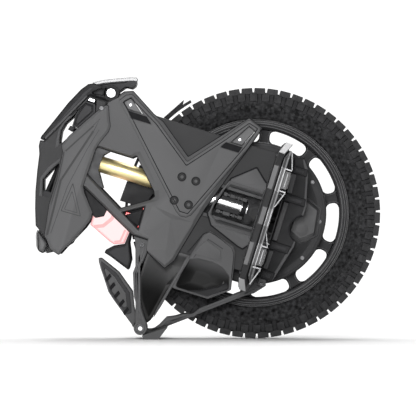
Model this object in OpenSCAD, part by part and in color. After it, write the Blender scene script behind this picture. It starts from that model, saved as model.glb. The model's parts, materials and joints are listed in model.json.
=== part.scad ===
// Electric suspension unicycle, parked: tipped back onto its tyre and its rear foot.
// Every sub-part is drawn upright (axle at the origin, X forward, Y left, Z up)
// and then park() tips the whole machine back about the axle.

/* [Stance] */
// How far the machine is tipped back when it is parked, degrees
park_tilt = 72.8; // [72.6:0.1:73.0]
// Shift along X that centres the parked machine on the origin, mm
park_x = 92.87; // [92.5:0.01:93.2]

/* [Wheel] */
// Outer radius of the tyre
tyre_r = 250; // [248:0.5:250]
// Half width of the tyre
tyre_hw = 38.5; // [36:0.5:39]
// Radius of the rim flange
rim_r = 186; // [184:0.5:187]
// Number of windows round the rim
window_n = 10; // [8:1:12]
// Width of one rim window, degrees
window_deg = 30.4; // [26:0.2:31]
// Radius of the motor cover
cover_r = 140.4; // [138:0.2:140.6]
// Radius of the axle
axle_r = 12; // [10:0.5:12]

/* [Suspension] */
// Radius of the polished stanchion
stanchion_r = 14; // [12:0.5:14]
// Outer radius of the gold upper tube
tube_r = 16; // [15.5:0.1:16]
// Distance of each stanchion from the middle plane
leg_y = 75; // [75:0.1:75.4]
// Running clearance of the stanchion in its tube
run_gap = 0.05; // [0.03:0.01:0.1]

/* [Body] */
// Inner face of the battery boxes
box_in = 58; // [57.5:0.1:58.5]
// Outer face of the battery boxes
box_out = 92; // [91.8:0.1:92]
// Outer face of the side frame covers
cover_out = 104; // [100:0.5:104]
// Half width of the top shell
shell_hw = 104; // [104:0.5:104.5]
// Outer face of the top side covers
skin_out = 112; // [108:0.5:114]

/* [Pedals] */
// Distance of the pedal hinge from the middle plane
hinge_y = 120; // [119:0.5:122]
// Height of the pedal hinge above the axle
hinge_z = -12; // [-13:0.5:-11]
// Outer edge of the pedal
pedal_out = 230; // [220:1:235]
// Radius of the pedal hinge pin
pin_r = 5; // [4:0.5:5]

/* [Handle and stand] */
// Handle pivot, X
hp_x = 142.3; // [142:0.1:142.6]
// Handle pivot, Z
hp_z = 342.9; // [342.6:0.1:343.2]
// Radius of the handle pivot disc
hp_r = 9; // [8:0.5:9]
// Rear pivot, X
rp_x = -285.3; // [-285.6:0.1:-285]
// Rear pivot, Z
rp_z = 150.2; // [150:0.1:150.5]
// Radius of the hollow rear pin
rp_r = 9; // [8:0.5:9]
// Radius of the hole through the rear pin
rp_hole = 4.1; // [3:0.1:5]

/* [Hidden] */
$fn = 96;
win0 = -7.8;
charcoal = [0.20, 0.20, 0.205];
dark = [0.09, 0.09, 0.095];
steel = [0.72, 0.72, 0.74];
gold = [0.80, 0.66, 0.34];

// ---- helpers ----
// Tips the machine back and stands it on the ground plane.
module park() { translate([park_x, 0, 250]) rotate([0, -park_tilt, 0]) children(); }
// Plate with outline p (X, Z), from y = a to y = b.
module plate(p, a, b) { translate([0, b, 0]) rotate([90, 0, 0]) linear_extrude(height = b - a) polygon(p); }
// Left side as drawn, right side mirrored.
module side(s) { if (s > 0) children(); else mirror([0, 1, 0]) children(); }
module both() { children(); mirror([0, 1, 0]) children(); }
// Cylinder along Y from a to b, centred on (x, z).
module ycyl(x, z, r, a, b) { translate([x, b, z]) rotate([90, 0, 0]) cylinder(r = r, h = b - a); }
// Ring turned about the Y axis from a profile of (radius, y).
module yturn(p) { rotate([90, 0, 0]) rotate_extrude($fn = 180) polygon([for (q = p) [q[0], -q[1]]]); }
function arc(r, a0, a1, n) = [for (i = [0 : n]) [r * cos(a0 + (a1 - a0) * i / n), r * sin(a0 + (a1 - a0) * i / n)]];
function polar(r, a) = [r * cos(a), r * sin(a)];

// ---- wheel ----
module tyre() {
  color(dark) park() yturn([
    [tyre_r, -12], [tyre_r - 1.5, -22], [tyre_r - 7, -31], [tyre_r - 17, -tyre_hw + 1], [tyre_r - 28, -tyre_hw], [205, -tyre_hw + 0.8], [193, -34.5], [rim_r + 0.6, -29],
    [rim_r + 0.4, -23.8], [178.2, -23.8], [178.2, -18.5], [188, -18.5], [201, -30.5], [222, -32], [236, -26], [240.5, -10],
    [240.5, 10], [236, 26], [222, 32], [201, 30.5], [188, 18.5], [178.2, 18.5], [178.2, 23.8], [rim_r + 0.4, 23.8],
    [rim_r + 0.6, 29], [193, 34.5], [205, tyre_hw - 0.8], [tyre_r - 28, tyre_hw], [tyre_r - 17, tyre_hw - 1], [tyre_r - 7, 31], [tyre_r - 1.5, 22], [tyre_r, 12]]);
}
module rim_window(a) {
  plate(concat(arc(167.3, a - window_deg / 2, a + window_deg / 2, 10), arc(142, a + window_deg / 2, a - window_deg / 2, 10)), -30, 30);
}
module rim() {
  color([0.13, 0.13, 0.135]) park() difference() {
    yturn([[134, -20], [141, -20], [141, -13], [168, -13], [168, -27.4], [172, -28.4], [rim_r, -28.4], [rim_r, -24], [178, -24], [178, -17], [170, -11],
      [170, 11], [178, 17], [178, 24], [rim_r, 24], [rim_r, 28.4], [172, 28.4], [168, 27.4], [168, 13], [141, 13], [141, 20], [134, 20]]);
    for (i = [0 : window_n - 1]) rim_window(win0 + i * 360 / window_n);
    rotate([0, -(win0 + 180 / window_n), 0]) translate([160, 0, 0]) rotate([0, 90, 0]) cylinder(r = 4.1, h = 20, $fn = 48);
  }
}
// Air valve: stands through the rim well over a spoke, with its stem turned in beside the spoke.
module valve() {
  color(steel) park() rotate([0, -(win0 + 180 / window_n), 0]) {
    translate([168.3, 0, 0]) rotate([0, 90, 0]) cylinder(r = 4, h = 5, $fn = 48);
    translate([172.4, 0, 0]) rotate([0, 90, 0]) cylinder(r = 6, h = 3, $fn = 48);
  }
}
module motor_hub() {
  color([0.16, 0.16, 0.17]) park() difference() {
    ycyl(0, 0, 134, -42, 42);
    ycyl(0, 0, 108, -43, 43);
    for (i = [0 : 9]) rotate([0, -(win0 - 0.7 + 36 * i), 0]) for (s = [-1, 1]) ycyl(129, 0, 2.5, s > 0 ? 30 : -42.5, s > 0 ? 42.5 : -30);
  }
}
// Laminated stator on its carrier, fixed to the axle inside the hub.
module motor_stator() {
  color([0.4, 0.25, 0.15]) park() difference() {
    union() { ycyl(0, 0, 104, -28, 28); ycyl(0, 0, 24, -38, 38); }
    for (s = [-1, 1]) difference() { ycyl(0, 0, 72, s > 0 ? 8 : -29, s > 0 ? 29 : -8); ycyl(0, 0, 24, -30, 30); }
    for (i = [0 : 5]) rotate([0, 60 * i, 0]) ycyl(48, 0, 15, -9, 9);
    ycyl(0, 0, axle_r + 0.02, -40, 40);
  }
}
module hub_bearings() {
  color(steel) park() both() difference() { ycyl(0, 0, 26, 42, 51); ycyl(0, 0, axle_r + 0.05, 41, 52); }
}
hex_boss = [[-24, -100], [-4, -123.5], [42, -117], [52, -93], [42, -77], [-14, -76]];
module motor_cover(s) {
  color([0.15, 0.15, 0.155]) park() side(s) difference() {
    union() {
      ycyl(0, 0, cover_r, 42, 49);
      translate([0, 0, 0]) rotate([-90, 0, 0]) rotate_extrude() polygon([[axle_r + 3, 48], [118, 48], [112, 51.5], [40, 53.5], [36, 55], [axle_r + 3, 55]]);
      plate(hex_boss, 48, 54.6);
    }
    ycyl(0, 0, axle_r + 2, 41, 57);
    ycyl(0, 0, 26, 41, 51);
    for (i = [0 : 9]) rotate([0, -(win0 - 0.7 + 36 * i), 0]) ycyl(129, 0, 2.6, 41, 50);
  }
}
module motor_cover_bolts() {
  color(steel) park() for (i = [0 : 9]) rotate([0, -(win0 - 0.7 + 36 * i), 0]) both() { ycyl(129, 0, 2.4, 31, 49.5); ycyl(129, 0, 4.2, 49, 52); }
}

// ---- unsprung carriage ----
module axle() { color(steel) park() union() { ycyl(0, 0, axle_r, -86, 86); } }
module axle_nuts() {
  color(steel) park() both() difference() { rotate([90, 0, 0]) translate([0, 0, -91]) cylinder(r = 14, h = 6.5, $fn = 6); ycyl(0, 0, axle_r - 3, 80, 92); ycyl(0, 0, axle_r, 80, 86); }
}
module slider(s) {
  color([0.45, 0.45, 0.46]) park() side(s) difference() {
    union() {
      plate([[-16, -30], [16, -30], [17, 4], [17, 20], [-17, 20], [-17, 4]], box_in + 1, 84);
      ycyl(-19.5, 11, 6.5, 74, 84);
      ycyl(18.5, 11, 6.5, 74, 84);
      translate([2, leg_y, 19]) cylinder(r = 14.9, h = 10);
      translate([0, leg_y, -46]) cylinder(r = 7, h = 17);
    }
    ycyl(0, 0, axle_r + 0.02, 50, 90);
    translate([2, leg_y, 16]) cylinder(r = stanchion_r + 0.02, h = 20);
    for (x = [-19.5, 18.5]) ycyl(x, 11, 2.6, 70, 85);
  }
}
module slider_bolts() { color(dark) park() both() for (x = [-19.5, 18.5]) { ycyl(x, 11, 2.5, 72, 84.5); ycyl(x, 11, 4.2, 84, 87); } }
module stanchion(s) { color([0.85, 0.85, 0.87]) park() side(s) translate([2, leg_y, 16]) cylinder(r = stanchion_r, h = 252); }
module inner_fender() {
  color(dark) park() {
    plate(concat(arc(259, 47, 113, 22), arc(254.5, 113, 47, 22)), -44, 44);
    plate([[127.5, 230], [173, 202], [160, 201.6], [150, 206.5], [140.5, 214], [134, 219], [128, 223]], -40, 40);
  }
}
module fender_stays() {
  color(dark) park() both() difference() {
    union() {
      plate([[-14, 146], [18, 146], [18, 254], [-17, 262], [-56, 264], [-56, 216], [-24, 206]], 44.3, 57);
      plate([[-14, 106], [18, 106], [18, 150], [-14, 150]], 55.3, 57);
      plate([[-15.5, 106], [19.5, 106], [19.5, 122], [-15.5, 122]], 56.9, 90.5);
    }
    translate([2, leg_y, 100]) cylinder(r = stanchion_r + 0.02, h = 40);
  }
}

// ---- sprung body ----
module battery_box(s) {
  color(charcoal) park() side(s) difference() {
    plate([[-118, -60], [-97, -73], [-42, -88], [42, -88], [97, -78], [128, -60], [126, -5], [126, 245], [72, 245], [38, 236], [-16, 200], [-37, 201], [-60, 206], [-112, 206], [-118, 190]], box_in, box_out);
    translate([-36, box_in - 1, -52]) cube([72, 60, 232]);
    translate([43, box_in + 3, -62]) cube([76, 28, 250]);
    translate([-111, box_in + 3, -50]) cube([68, 28, 240]);
    translate([2, leg_y, 150]) cylinder(r = tube_r + 0.02, h = 120);
    ycyl(-4, -99, 26, box_in - 1, box_out + 1);
  }
}
module battery_packs() {
  color([0.15, 0.25, 0.45]) park() both() {
    translate([44, box_in + 4, -61]) cube([74, 26, 248]);
    translate([-110, box_in + 4, -49]) cube([66, 26, 238]);
  }
}
module box_panel(s) {
  color([0.24, 0.24, 0.245]) park() side(s) difference() {
    plate([[-74, 4], [-72, 14], [-48, 76], [-27, 90], [50.5, 65], [85, 24], [62, -2], [60, -44], [-60, -44], [-62, -6]], box_out, box_out + 3);
    plate([[-40, -42.5], [-40, 68], [-28, 83], [-5, 81], [22, 72], [40, 64], [40, -42.5]], box_out - 1, box_out + 4);
  }
}
module guide_rails() {
  color([0.5, 0.5, 0.51]) park() both() for (x = [-36, 28.5]) translate([x, box_in + 6, -51.9]) cube([7.5, 24, 231.8]);
}
module gold_tube(s) {
  color(gold) park() side(s) translate([2, leg_y, 0]) difference() {
    translate([0, 0, 188]) cylinder(r = tube_r, h = 156.5);
    translate([0, 0, 180]) cylinder(r = stanchion_r + run_gap, h = 160);
  }
}
module tube_clamps() {
  color([0.3, 0.3, 0.31]) park() both() difference() {
    plate([[-42, 303], [-12, 322], [21, 322], [33, 311], [37, 300], [44, 300], [44, 345], [-42, 345]], box_in, box_out);
    translate([2, leg_y, 290]) cylinder(r = tube_r + 0.02, h = 60);
  }
}
up_hole = [131.2, 298.8];
lo_hole = [129.1, 72.4];
up_ins = [[131.8, 315], [146, 302], [121, 270], [121, 302]];
lo_ins = [[119, 88], [160.5, 62.5], [154.5, 47.5], [119, 64.5]];
module frame_cover(s) {
  color(charcoal) park() side(s) difference() {
    union() {
      // front arms, hub and the rear strut, as one outline round the V opening
      plate([[-51.3, 345], [-51.3, 338.9], [-112.1, 220], [-114, 184.3], [-136.8, 180.9], [-156.6, 139.6], [-136.8, 126.3], [-115.6, 121.4], [-20, 98], [50, 75], [116, 52],
        [163.7, 37.3], [175.1, 67], [120, 114], [66, 160], [118, 228], [127, 250], [158, 302], [152, 318], [139, 329], [124, 345], [33, 345], [33, 266], [40, 258],
        [-17.7, 203.9], [-27.6, 199.4], [-36.5, 205.4], [-71, 258.3], [-26, 338.9], [-22, 345]], box_out, cover_out);
      // small strut from the lower front corner down to the box
      plate([[155, 44], [171, 58], [146, -14], [135, -11]], box_out, 100);
      plate([[124, -2], [141, 4], [141, -14], [124, -14]], box_out, 98);
    }
    plate([[-76.5, 252.3], [-51.8, 212.3], [-100.2, 211.3]], box_out - 1, cover_out + 1);
    plate(up_ins, box_out - 1, cover_out + 1);
    plate(lo_ins, box_out - 1, cover_out + 1);
    ycyl(hp_x, hp_z, 17, box_out - 1, cover_out + 1);
    for (q = [[-23.3, 161], [25.3, 160], [-23.6, 131.2], [25.3, 131.2]]) ycyl(q[0], q[1], 3.1, box_out + 2, cover_out + 1);
  }
}
module armour_plate(s) {
  color([0.215, 0.215, 0.22]) park() side(s) difference() {
    plate([[133, 322], [-43, 150], [-48.8, 141], [-48, 129], [-41.4, 121.4], [119, 52], [156, 40], [163, 41], [172, 64], [168, 70], [119, 107], [56, 159], [114, 236], [151, 302], [147, 312]], cover_out, cover_out + 3);
    plate(up_ins, cover_out - 1, cover_out + 4);
    plate(lo_ins, cover_out - 1, cover_out + 4);
    plate([[106.5, 248], [118.5, 262], [118.5, 300], [106.5, 290]], cover_out - 1, cover_out + 4);
    plate([[104, 105], [116.5, 97], [116.5, 63], [104, 67.5]], cover_out - 1, cover_out + 4);
    for (q = [[-23.3, 161], [25.3, 160], [-23.6, 131.2], [25.3, 131.2]]) ycyl(q[0], q[1], 3.1, cover_out - 1, cover_out + 4);
  }
}
module corner_inserts(s) {
  color([0.3, 0.3, 0.31]) park() side(s) {
    difference() { plate(up_ins, box_out, cover_out + 2.2); ycyl(up_hole[0], up_hole[1], 2.75, box_out - 1, cover_out + 4); }
    difference() { plate(lo_ins, box_out, cover_out + 2.2); ycyl(lo_hole[0], lo_hole[1], 2.75, box_out - 1, cover_out + 4); }
  }
}
module panel_bolts() {
  color(steel) park() both() for (q = [[-23.3, 161], [25.3, 160], [-23.6, 131.2], [25.3, 131.2]]) difference() {
    union() { ycyl(q[0], q[1], 3, box_out + 2.5, cover_out + 3.5); ycyl(q[0], q[1], 6.5, cover_out + 3, cover_out + 5); }
    translate([q[0], cover_out + 8, q[1]]) rotate([90, 0, 0]) cylinder(r = 2.6, h = 5, $fn = 6);
  }
}
module lower_bumper(s) {
  color(dark) park() side(s) difference() {
    union() {
      plate([[-120, -47], [-61, -51], [-40, -54], [38, -55], [57, -55], [98, -48], [128, -40], [133, -60], [112, -75], [42, -92.5], [-42, -92.5], [-100, -77], [-120, -71]], box_out, 101);
      for (x = [[-120, -101], [-60, -42], [39, 56], [97, 113]]) plate([[x[0], -44.3], [x[1], -44.3], [x[1], -74], [x[0], -71]], box_out, 104);
    }
    ycyl(-4, -99, 26, box_out - 1, 105);
  }
}
module side_fairing(s) {
  color(charcoal) park() side(s) plate([[-190, 116], [-118, 98], [-72, 86], [-60, 76], [-76, 22], [-86, 15], [-115, 9], [-150, 3], [-160, 1], [-190, 40]], box_out, 98);
}
module rear_scoop(s) {
  color(dark) park() side(s) plate([[-271, 141], [-262, 134], [-220, 127], [-190, 120], [-190, 40], [-158, 4], [-118, 12], [-118, 180], [-152, 181.5], [-190, 181.5], [-230, 168]], box_in, box_out);
}
module rear_arms() {
  color(charcoal) park() both() difference() {
    union() {
      plate([[-278.7, 162.4], [-255.5, 169.3], [-124, 210.3], [-118, 214.3], [-114.6, 216], [-114.6, 185], [-140.3, 182.2], [-183.3, 186.6], [-229.2, 170.8], [-255.5, 154.5], [-272.3, 141.1], [-290, 145]], box_out, 100);
      ycyl(rp_x, rp_z, 13, box_out, 101);
      ycyl(-127.1, 195.5, 4.5, 99, 102.5);
    }
    ycyl(rp_x, rp_z, rp_r + 0.02, 80, 110);
  }
}
module stand_legs() {
  color(charcoal) park() both() difference() {
    union() {
      plate([[-297, 143], [-269, 103], [-264, 98], [-233, 58.6], [-219, 42], [-163, -28], [-153, -44.2], [-131.4, -63], [-122, -58], [-120, -44], [-122, -34], [-158, -20.5], [-160, -16], [-213, 50], [-228, 60], [-233, 77], [-243, 92], [-250, 107.5], [-270, 117.4], [-280, 124.8], [-284, 136], [-276, 152]], 62, 71);
      ycyl(rp_x, rp_z, 12.5, 60, 72);
      plate([[-120, -44], [-122, -58], [-131, -62], [-134, -48]], 70.9, 100);
      plate([[-120.5, -46], [-120.5, -70], [-118.1, -60], [-118.1, -46]], 62, 91.9);
      ycyl(-131.4, -53.1, 4, 99, 103);
    }
    ycyl(rp_x, rp_z, rp_r + 0.02, 50, 80);
  }
}
module rear_foot() {
  color(dark) intersection() {
    park() plate([[-297.4, 143.2], [-304.6, 136.9], [-307, 128], [-300, 111], [-266.5, 99], [-269, 102.6]], -100, 100);
    translate([-400, -150, 0]) cube([500, 300, 300]);
  }
}
module rear_pin() {
  color(steel) park() difference() { ycyl(rp_x, rp_z, rp_r, -102, 102); ycyl(rp_x, rp_z, rp_hole, -103, 103); }
}
module tail_fins() {
  color([0.1, 0.1, 0.1]) park() both() plate([[-163.5, 262.7], [-156.6, 261.7], [-145.2, 250.4], [-134.8, 229.6], [-106.5, 227], [-107.2, 222.6], [-129.9, 220.2], [-161.1, 206.4], [-182.8, 205.9], [-167.5, 247.9]], 46, box_out);
}
module tail_lights() {
  color([1, 0.75, 0.75]) park() both() {
    plate([[-118.5, 305.2], [-94.8, 305.2], [-84.9, 290], [-73, 288], [-73, 262], [-105, 228.2], [-134.4, 230.6], [-141.8, 248.9], [-139.3, 258.8]], 46, box_out);
    plate([[-76.5, 251], [-52.8, 213], [-58, 208], [-97, 208], [-99, 212]], 66, box_out);
  }
}
// ---- top ----
front_gap = [[13.9, 409.5], [36, 396.7], [56, 384.9], [80.7, 370], [97, 360], [122, 366], [123, 382], [100, 393], [80, 399.5], [58.9, 412], [42.6, 415.5], [24.3, 413]];
rear_gap = [[-92, 398], [-92, 412], [-59.7, 421], [-38, 411], [-16, 398]];
module top_shell() {
  color([0.17, 0.17, 0.175]) park() difference() {
    union() {
      plate([[-172, 378.5], [-152, 408], [-120, 419], [-87, 428.5], [-50, 436.5], [-14, 443], [0, 448.5], [12, 449.5], [13.2, 441], [122.5, 382], [124.3, 378], [124.3, 345], [-186, 345], [-191, 358], [-199.6, 373], [-186, 371], [-176, 372.5]], -shell_hw, shell_hw);
      plate([[-186, 346], [-165, 333], [-127, 316], [-107, 309.5], [-96, 310.5], [-84, 318], [-61, 337], [-50, 346]], -box_out, box_out);
    }
    plate(front_gap, -shell_hw - 1, shell_hw + 1);
    plate(rear_gap, -shell_hw - 1, shell_hw + 1);
    // electronics bay
    translate([-140, -84, 350]) cube([150, 168, 34]);
  }
  color(dark) park() translate([-128, -70, 350]) cube([120, 140, 26]);
  color(dark) park() plate([[-95, 399.5], [-95, 410], [-50, 410.5], [-30, 406], [-12, 396]], -34, 34);
}
module side_cover(s) {
  color([0.23, 0.23, 0.235]) park() side(s) plate([[-191, 356], [-193.5, 347], [-172, 337], [-165, 331], [-158, 329.5], [-127, 314], [-107, 307.5], [-94, 308.5], [-84, 317], [-61, 336], [-50, 341.5], [-10, 340.5], [28, 339.5], [39, 336.5],
    [69, 325], [79, 325], [93.5, 331.6], [117, 340.5], [114.3, 347.3], [97, 359.6], [80.7, 370], [56, 384.9], [36.2, 396.7], [14.4, 405.6], [3, 399], [-52.8, 394], [-104, 394], [-166, 385], [-172, 378.5], [-188, 366]], shell_hw, skin_out);
}
module tail_pad() {
  color([0.45, 0.45, 0.45]) park() plate([[-203, 378], [-201, 388], [-197, 392.5], [-152.8, 407.8], [-172.5, 379], [-176.5, 373.4], [-186, 371.8], [-199, 374.2]], -90, 90);
}
module display_module() {
  color([0.28, 0.28, 0.29]) park() difference() {
    plate([[57.5, 386], [80.7, 371.6], [97, 361.6], [112, 366.5], [112, 386], [99, 392.2], [80, 397.2], [57.5, 397.2]], -100, 100);
    translate([74, 40, 392]) cylinder(r = 8.2, h = 10);
    translate([74, -40, 385]) cylinder(r = 9, h = 20);
    translate([60, -26, 394.5]) cube([20, 52, 10]);
  }
  color(dark) park() {
    translate([60.3, -25.7, 394.5]) cube([19.4, 51.4, 2]);
    difference() { translate([74, -40, 385]) cylinder(r = 8.9, h = 9); for (i = [0 : 2]) rotate([0, 0, 0]) translate([74 + 4 * cos(120 * i), -40 + 4 * sin(120 * i), 388]) cylinder(r = 1.2, h = 10, $fn = 24); }
  }
}
module front_cowl() {
  color([0.15, 0.15, 0.155]) park() plate([[124.3, 346], [131, 335], [150, 329], [163, 319], [164, 306], [171, 301], [179, 300.6], [177, 312], [169, 332], [157, 362], [146.5, 380.5], [141, 384], [124.3, 380]], -80, 80);
}
module headlight_lens() {
  color([0.85, 0.87, 0.9]) park() plate([[146.5, 380.5], [157, 362], [169, 332], [177, 312], [179, 300.6], [184, 300.6], [187, 304], [184, 315], [176, 335.4], [163, 366], [151.5, 385.5]], -66, 66);
}
module handle_pivots() { color([0.9, 0.9, 0.9]) park() both() ycyl(hp_x, hp_z, hp_r, 80, 103); }
// ---- moving pieces ----
module handle() {
  color([0.13, 0.13, 0.135]) park() difference() {
    union() {
      both() plate([[14, 442], [14, 449.8], [20, 449.4], [40, 441.3], [100, 417.5], [132, 401.5], [146, 391], [151, 380], [150, 362], [154, 350], [126.6, 350], [127, 378], [124.6, 382.6]], 84, 103.5);
      both() ycyl(hp_x, hp_z, 16, 84, 103.5);
      plate([[14, 442], [14, 449.8], [20, 449.4], [42, 440.5], [44, 427.5]], -85, 85);
    }
    ycyl(hp_x, hp_z, hp_r + 0.05, -110, 110);
    both() plate([[130.5, 377], [133, 378.5], [145.5, 364], [144.5, 358.5], [133.5, 357.5]], 80, 110);
  }
}
module power_button() { color([0.8, 0.1, 0.1]) park() translate([74, 40, 394.2]) cylinder(r = 8, h = 4.3); }
module rear_flap() {
  color(charcoal) park() difference() {
    union() {
      plate([[-262.4, 167.6], [-249, 175.2], [-220.9, 187], [-192.2, 224.5], [-175.9, 266], [-177.4, 270.6], [-184, 268], [-196, 260.5], [-209.5, 250.5], [-235.7, 232], [-249, 215.8], [-286, 166], [-276, 164]], -59.5, 59.5);
      ycyl(rp_x, rp_z, 12.5, 30, 52);
      ycyl(rp_x, rp_z, 12.5, -52, -30);
      both() plate([[-296, 152], [-286, 168], [-262.4, 168.5], [-272, 152]], 30, 52);
    }
    ycyl(rp_x, rp_z, rp_r + 0.06, -61, 61);
    plate([[-254, 184], [-228, 195], [-204, 226], [-188, 259], [-200, 252], [-232, 227], [-246, 212], [-264, 188]], -54, 54);
    for (i = [0 : 4]) translate([-264.5 + 11.2 * i, 0, 190 + 13 * i]) rotate([0, -49, 0]) translate([0, -30, 0]) cube([11, 60, 30]);
  }
}
module pedal(s) {
  color([0.35, 0.35, 0.36]) park() side(s) difference() {
    union() {
      // deck
      translate([0, 0, -20]) linear_extrude(height = 14.5) polygon([[-152, 124], [-152, 160], [-131, 208], [-103, 226], [-98, pedal_out], [-54, pedal_out], [-19, pedal_out - 14], [17, pedal_out - 14], [52, pedal_out], [102, pedal_out], [127, pedal_out - 18], [150, 165], [150, 124], [53, 124], [53, 131], [-54, 131], [-54, 124]]);
      // metal underframe, tapered to both ends
      intersection() {
        translate([0, 0, -40]) linear_extrude(height = 25) polygon([[-151, 128], [-151, 158], [-130, 204], [-98, 226], [-54, 226], [-19, 212], [17, 212], [52, 226], [102, 226], [126, 208], [149, 163], [149, 128], [53, 128], [53, 131], [-54, 131], [-54, 128]]);
        plate([[-151, -20], [-151, -27], [-136, -32.5], [134, -34], [149, -31], [149, -20]], 100, 240);
      }
      for (x = [[-102, -58], [55, 99.5]]) {
        plate([[x[0], -20], [x[1], -20], [x[1], -44.2], [x[0], -43.4]], 134, 196);
        translate([x[0], hinge_y, hinge_z]) rotate([0, 90, 0]) cylinder(r = 8, h = x[1] - x[0]);
        plate([[x[0], -20], [x[1], -20], [x[1], -6], [x[0], -6]], hinge_y, 126);
      }
      // grip studs
      for (x = [-120 : 30 : 120]) for (y = [150, 178, 206]) if (abs(x) > 20 || y < 200) translate([x, y, -6]) cylinder(r = 2.5, h = 3, $fn = 16);
    }
    translate([-110, hinge_y, hinge_z]) rotate([0, 90, 0]) cylinder(r = pin_r + 0.06, h = 220);
  }
}
module pedal_hangers() {
  color(steel) park() both() {
    difference() {
      union() {
      plate([[-51, -3], [50, -3], [50, -21], [-51, -21]], box_out + 3, hinge_y);
      intersection() {
        plate([[-51, -3], [50, -3], [50, -21], [-51, -21]], hinge_y - 4, 128.5);
        translate([-51, hinge_y, hinge_z]) rotate([0, 90, 0]) cylinder(r = 10.4, h = 101);
      }
      }
      translate([-60, hinge_y, hinge_z]) rotate([0, 90, 0]) cylinder(r = pin_r + 0.01, h = 120);
      plate([[-45, 10], [44, 10], [44, -52], [-45, -52]], box_out + 2, 109);
    }
    for (x = [-51, 50]) plate([[x - 1, -20.9], [x + 1, -20.9], [x + 1, -43.9], [x - 1, -43.9]], box_out + 3.2, 110);
    translate([-105, hinge_y, hinge_z]) rotate([0, 90, 0]) cylinder(r = pin_r, h = 208);
  }
}
tyre();
rim();
valve();
motor_hub();
motor_stator();
hub_bearings();
motor_cover(1);  // motor_cover_left
motor_cover(-1);  // motor_cover_right
motor_cover_bolts();
axle();
axle_nuts();
slider(1);  // slider_left
slider(-1);  // slider_right
slider_bolts();
stanchion(1);  // stanchion_left
stanchion(-1);  // stanchion_right
inner_fender();
fender_stays();
battery_box(1);  // battery_box_left
battery_box(-1);  // battery_box_right
battery_packs();
box_panel(1);  // box_panel_left
box_panel(-1);  // box_panel_right
guide_rails();
gold_tube(1);  // gold_tube_left
gold_tube(-1);  // gold_tube_right
tube_clamps();
frame_cover(1);  // frame_cover_left
frame_cover(-1);  // frame_cover_right
armour_plate(1);  // armour_plate_left
armour_plate(-1);  // armour_plate_right
corner_inserts(1);  // corner_inserts_left
corner_inserts(-1);  // corner_inserts_right
panel_bolts();
lower_bumper(1);  // lower_bumper_left
lower_bumper(-1);  // lower_bumper_right
side_fairing(1);  // side_fairing_left
side_fairing(-1);  // side_fairing_right
rear_scoop(1);  // rear_scoop_left
rear_scoop(-1);  // rear_scoop_right
rear_arms();
stand_legs();
rear_foot();
rear_pin();
tail_fins();
tail_lights();
top_shell();
side_cover(1);  // side_cover_left
side_cover(-1);  // side_cover_right
tail_pad();
display_module();
front_cowl();
headlight_lens();
handle_pivots();
pedal_hangers();
handle();
power_button();
rear_flap();
pedal(1);  // pedal_left
pedal(-1);  // pedal_right
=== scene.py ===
import bpy, bmesh, math, json, random
from mathutils import Vector, Matrix
from mathutils.geometry import tessellate_polygon

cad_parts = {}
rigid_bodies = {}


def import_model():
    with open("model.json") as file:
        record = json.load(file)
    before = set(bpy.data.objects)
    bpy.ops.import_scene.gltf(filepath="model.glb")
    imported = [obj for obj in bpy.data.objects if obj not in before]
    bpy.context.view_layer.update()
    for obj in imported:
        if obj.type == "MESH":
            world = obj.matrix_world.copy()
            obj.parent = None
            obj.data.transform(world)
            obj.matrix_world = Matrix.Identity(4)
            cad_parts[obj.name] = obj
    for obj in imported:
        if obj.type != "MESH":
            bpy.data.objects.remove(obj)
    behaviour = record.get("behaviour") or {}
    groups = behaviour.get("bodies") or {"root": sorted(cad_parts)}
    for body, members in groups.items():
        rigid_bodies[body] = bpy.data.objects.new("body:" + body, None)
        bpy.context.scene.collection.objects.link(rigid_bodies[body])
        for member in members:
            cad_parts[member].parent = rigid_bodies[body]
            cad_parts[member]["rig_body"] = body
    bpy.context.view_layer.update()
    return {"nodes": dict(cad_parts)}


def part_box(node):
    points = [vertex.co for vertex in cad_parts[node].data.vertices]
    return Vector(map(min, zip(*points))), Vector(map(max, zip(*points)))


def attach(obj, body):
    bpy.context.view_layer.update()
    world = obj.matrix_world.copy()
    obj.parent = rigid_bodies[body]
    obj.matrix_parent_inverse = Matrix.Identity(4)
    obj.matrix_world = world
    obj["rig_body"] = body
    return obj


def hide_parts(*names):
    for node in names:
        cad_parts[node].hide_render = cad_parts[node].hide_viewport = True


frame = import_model()
NODES = frame["nodes"]

# ---------------------------------------------------------------- upright frame
# Pieces are drawn upright in mm (axle at the origin, X forward, Z up) and tipped back onto the parked frame.
lo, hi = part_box("motor_hub")
AXLE = (lo + hi) / 2
TILT = math.radians(-72.8)
M = Matrix.Translation(AXLE) @ Matrix.Rotation(TILT, 4, "Y") @ Matrix.Scale(0.001, 4)


def P(x, y, z):
    return M @ Vector((x, y, z))


# ---------------------------------------------------------------- materials
def new_mat(name):
    m = bpy.data.materials.new(name)
    m.use_nodes = True
    nt = m.node_tree
    b = nt.nodes["Principled BSDF"]
    return m, nt, b


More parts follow.
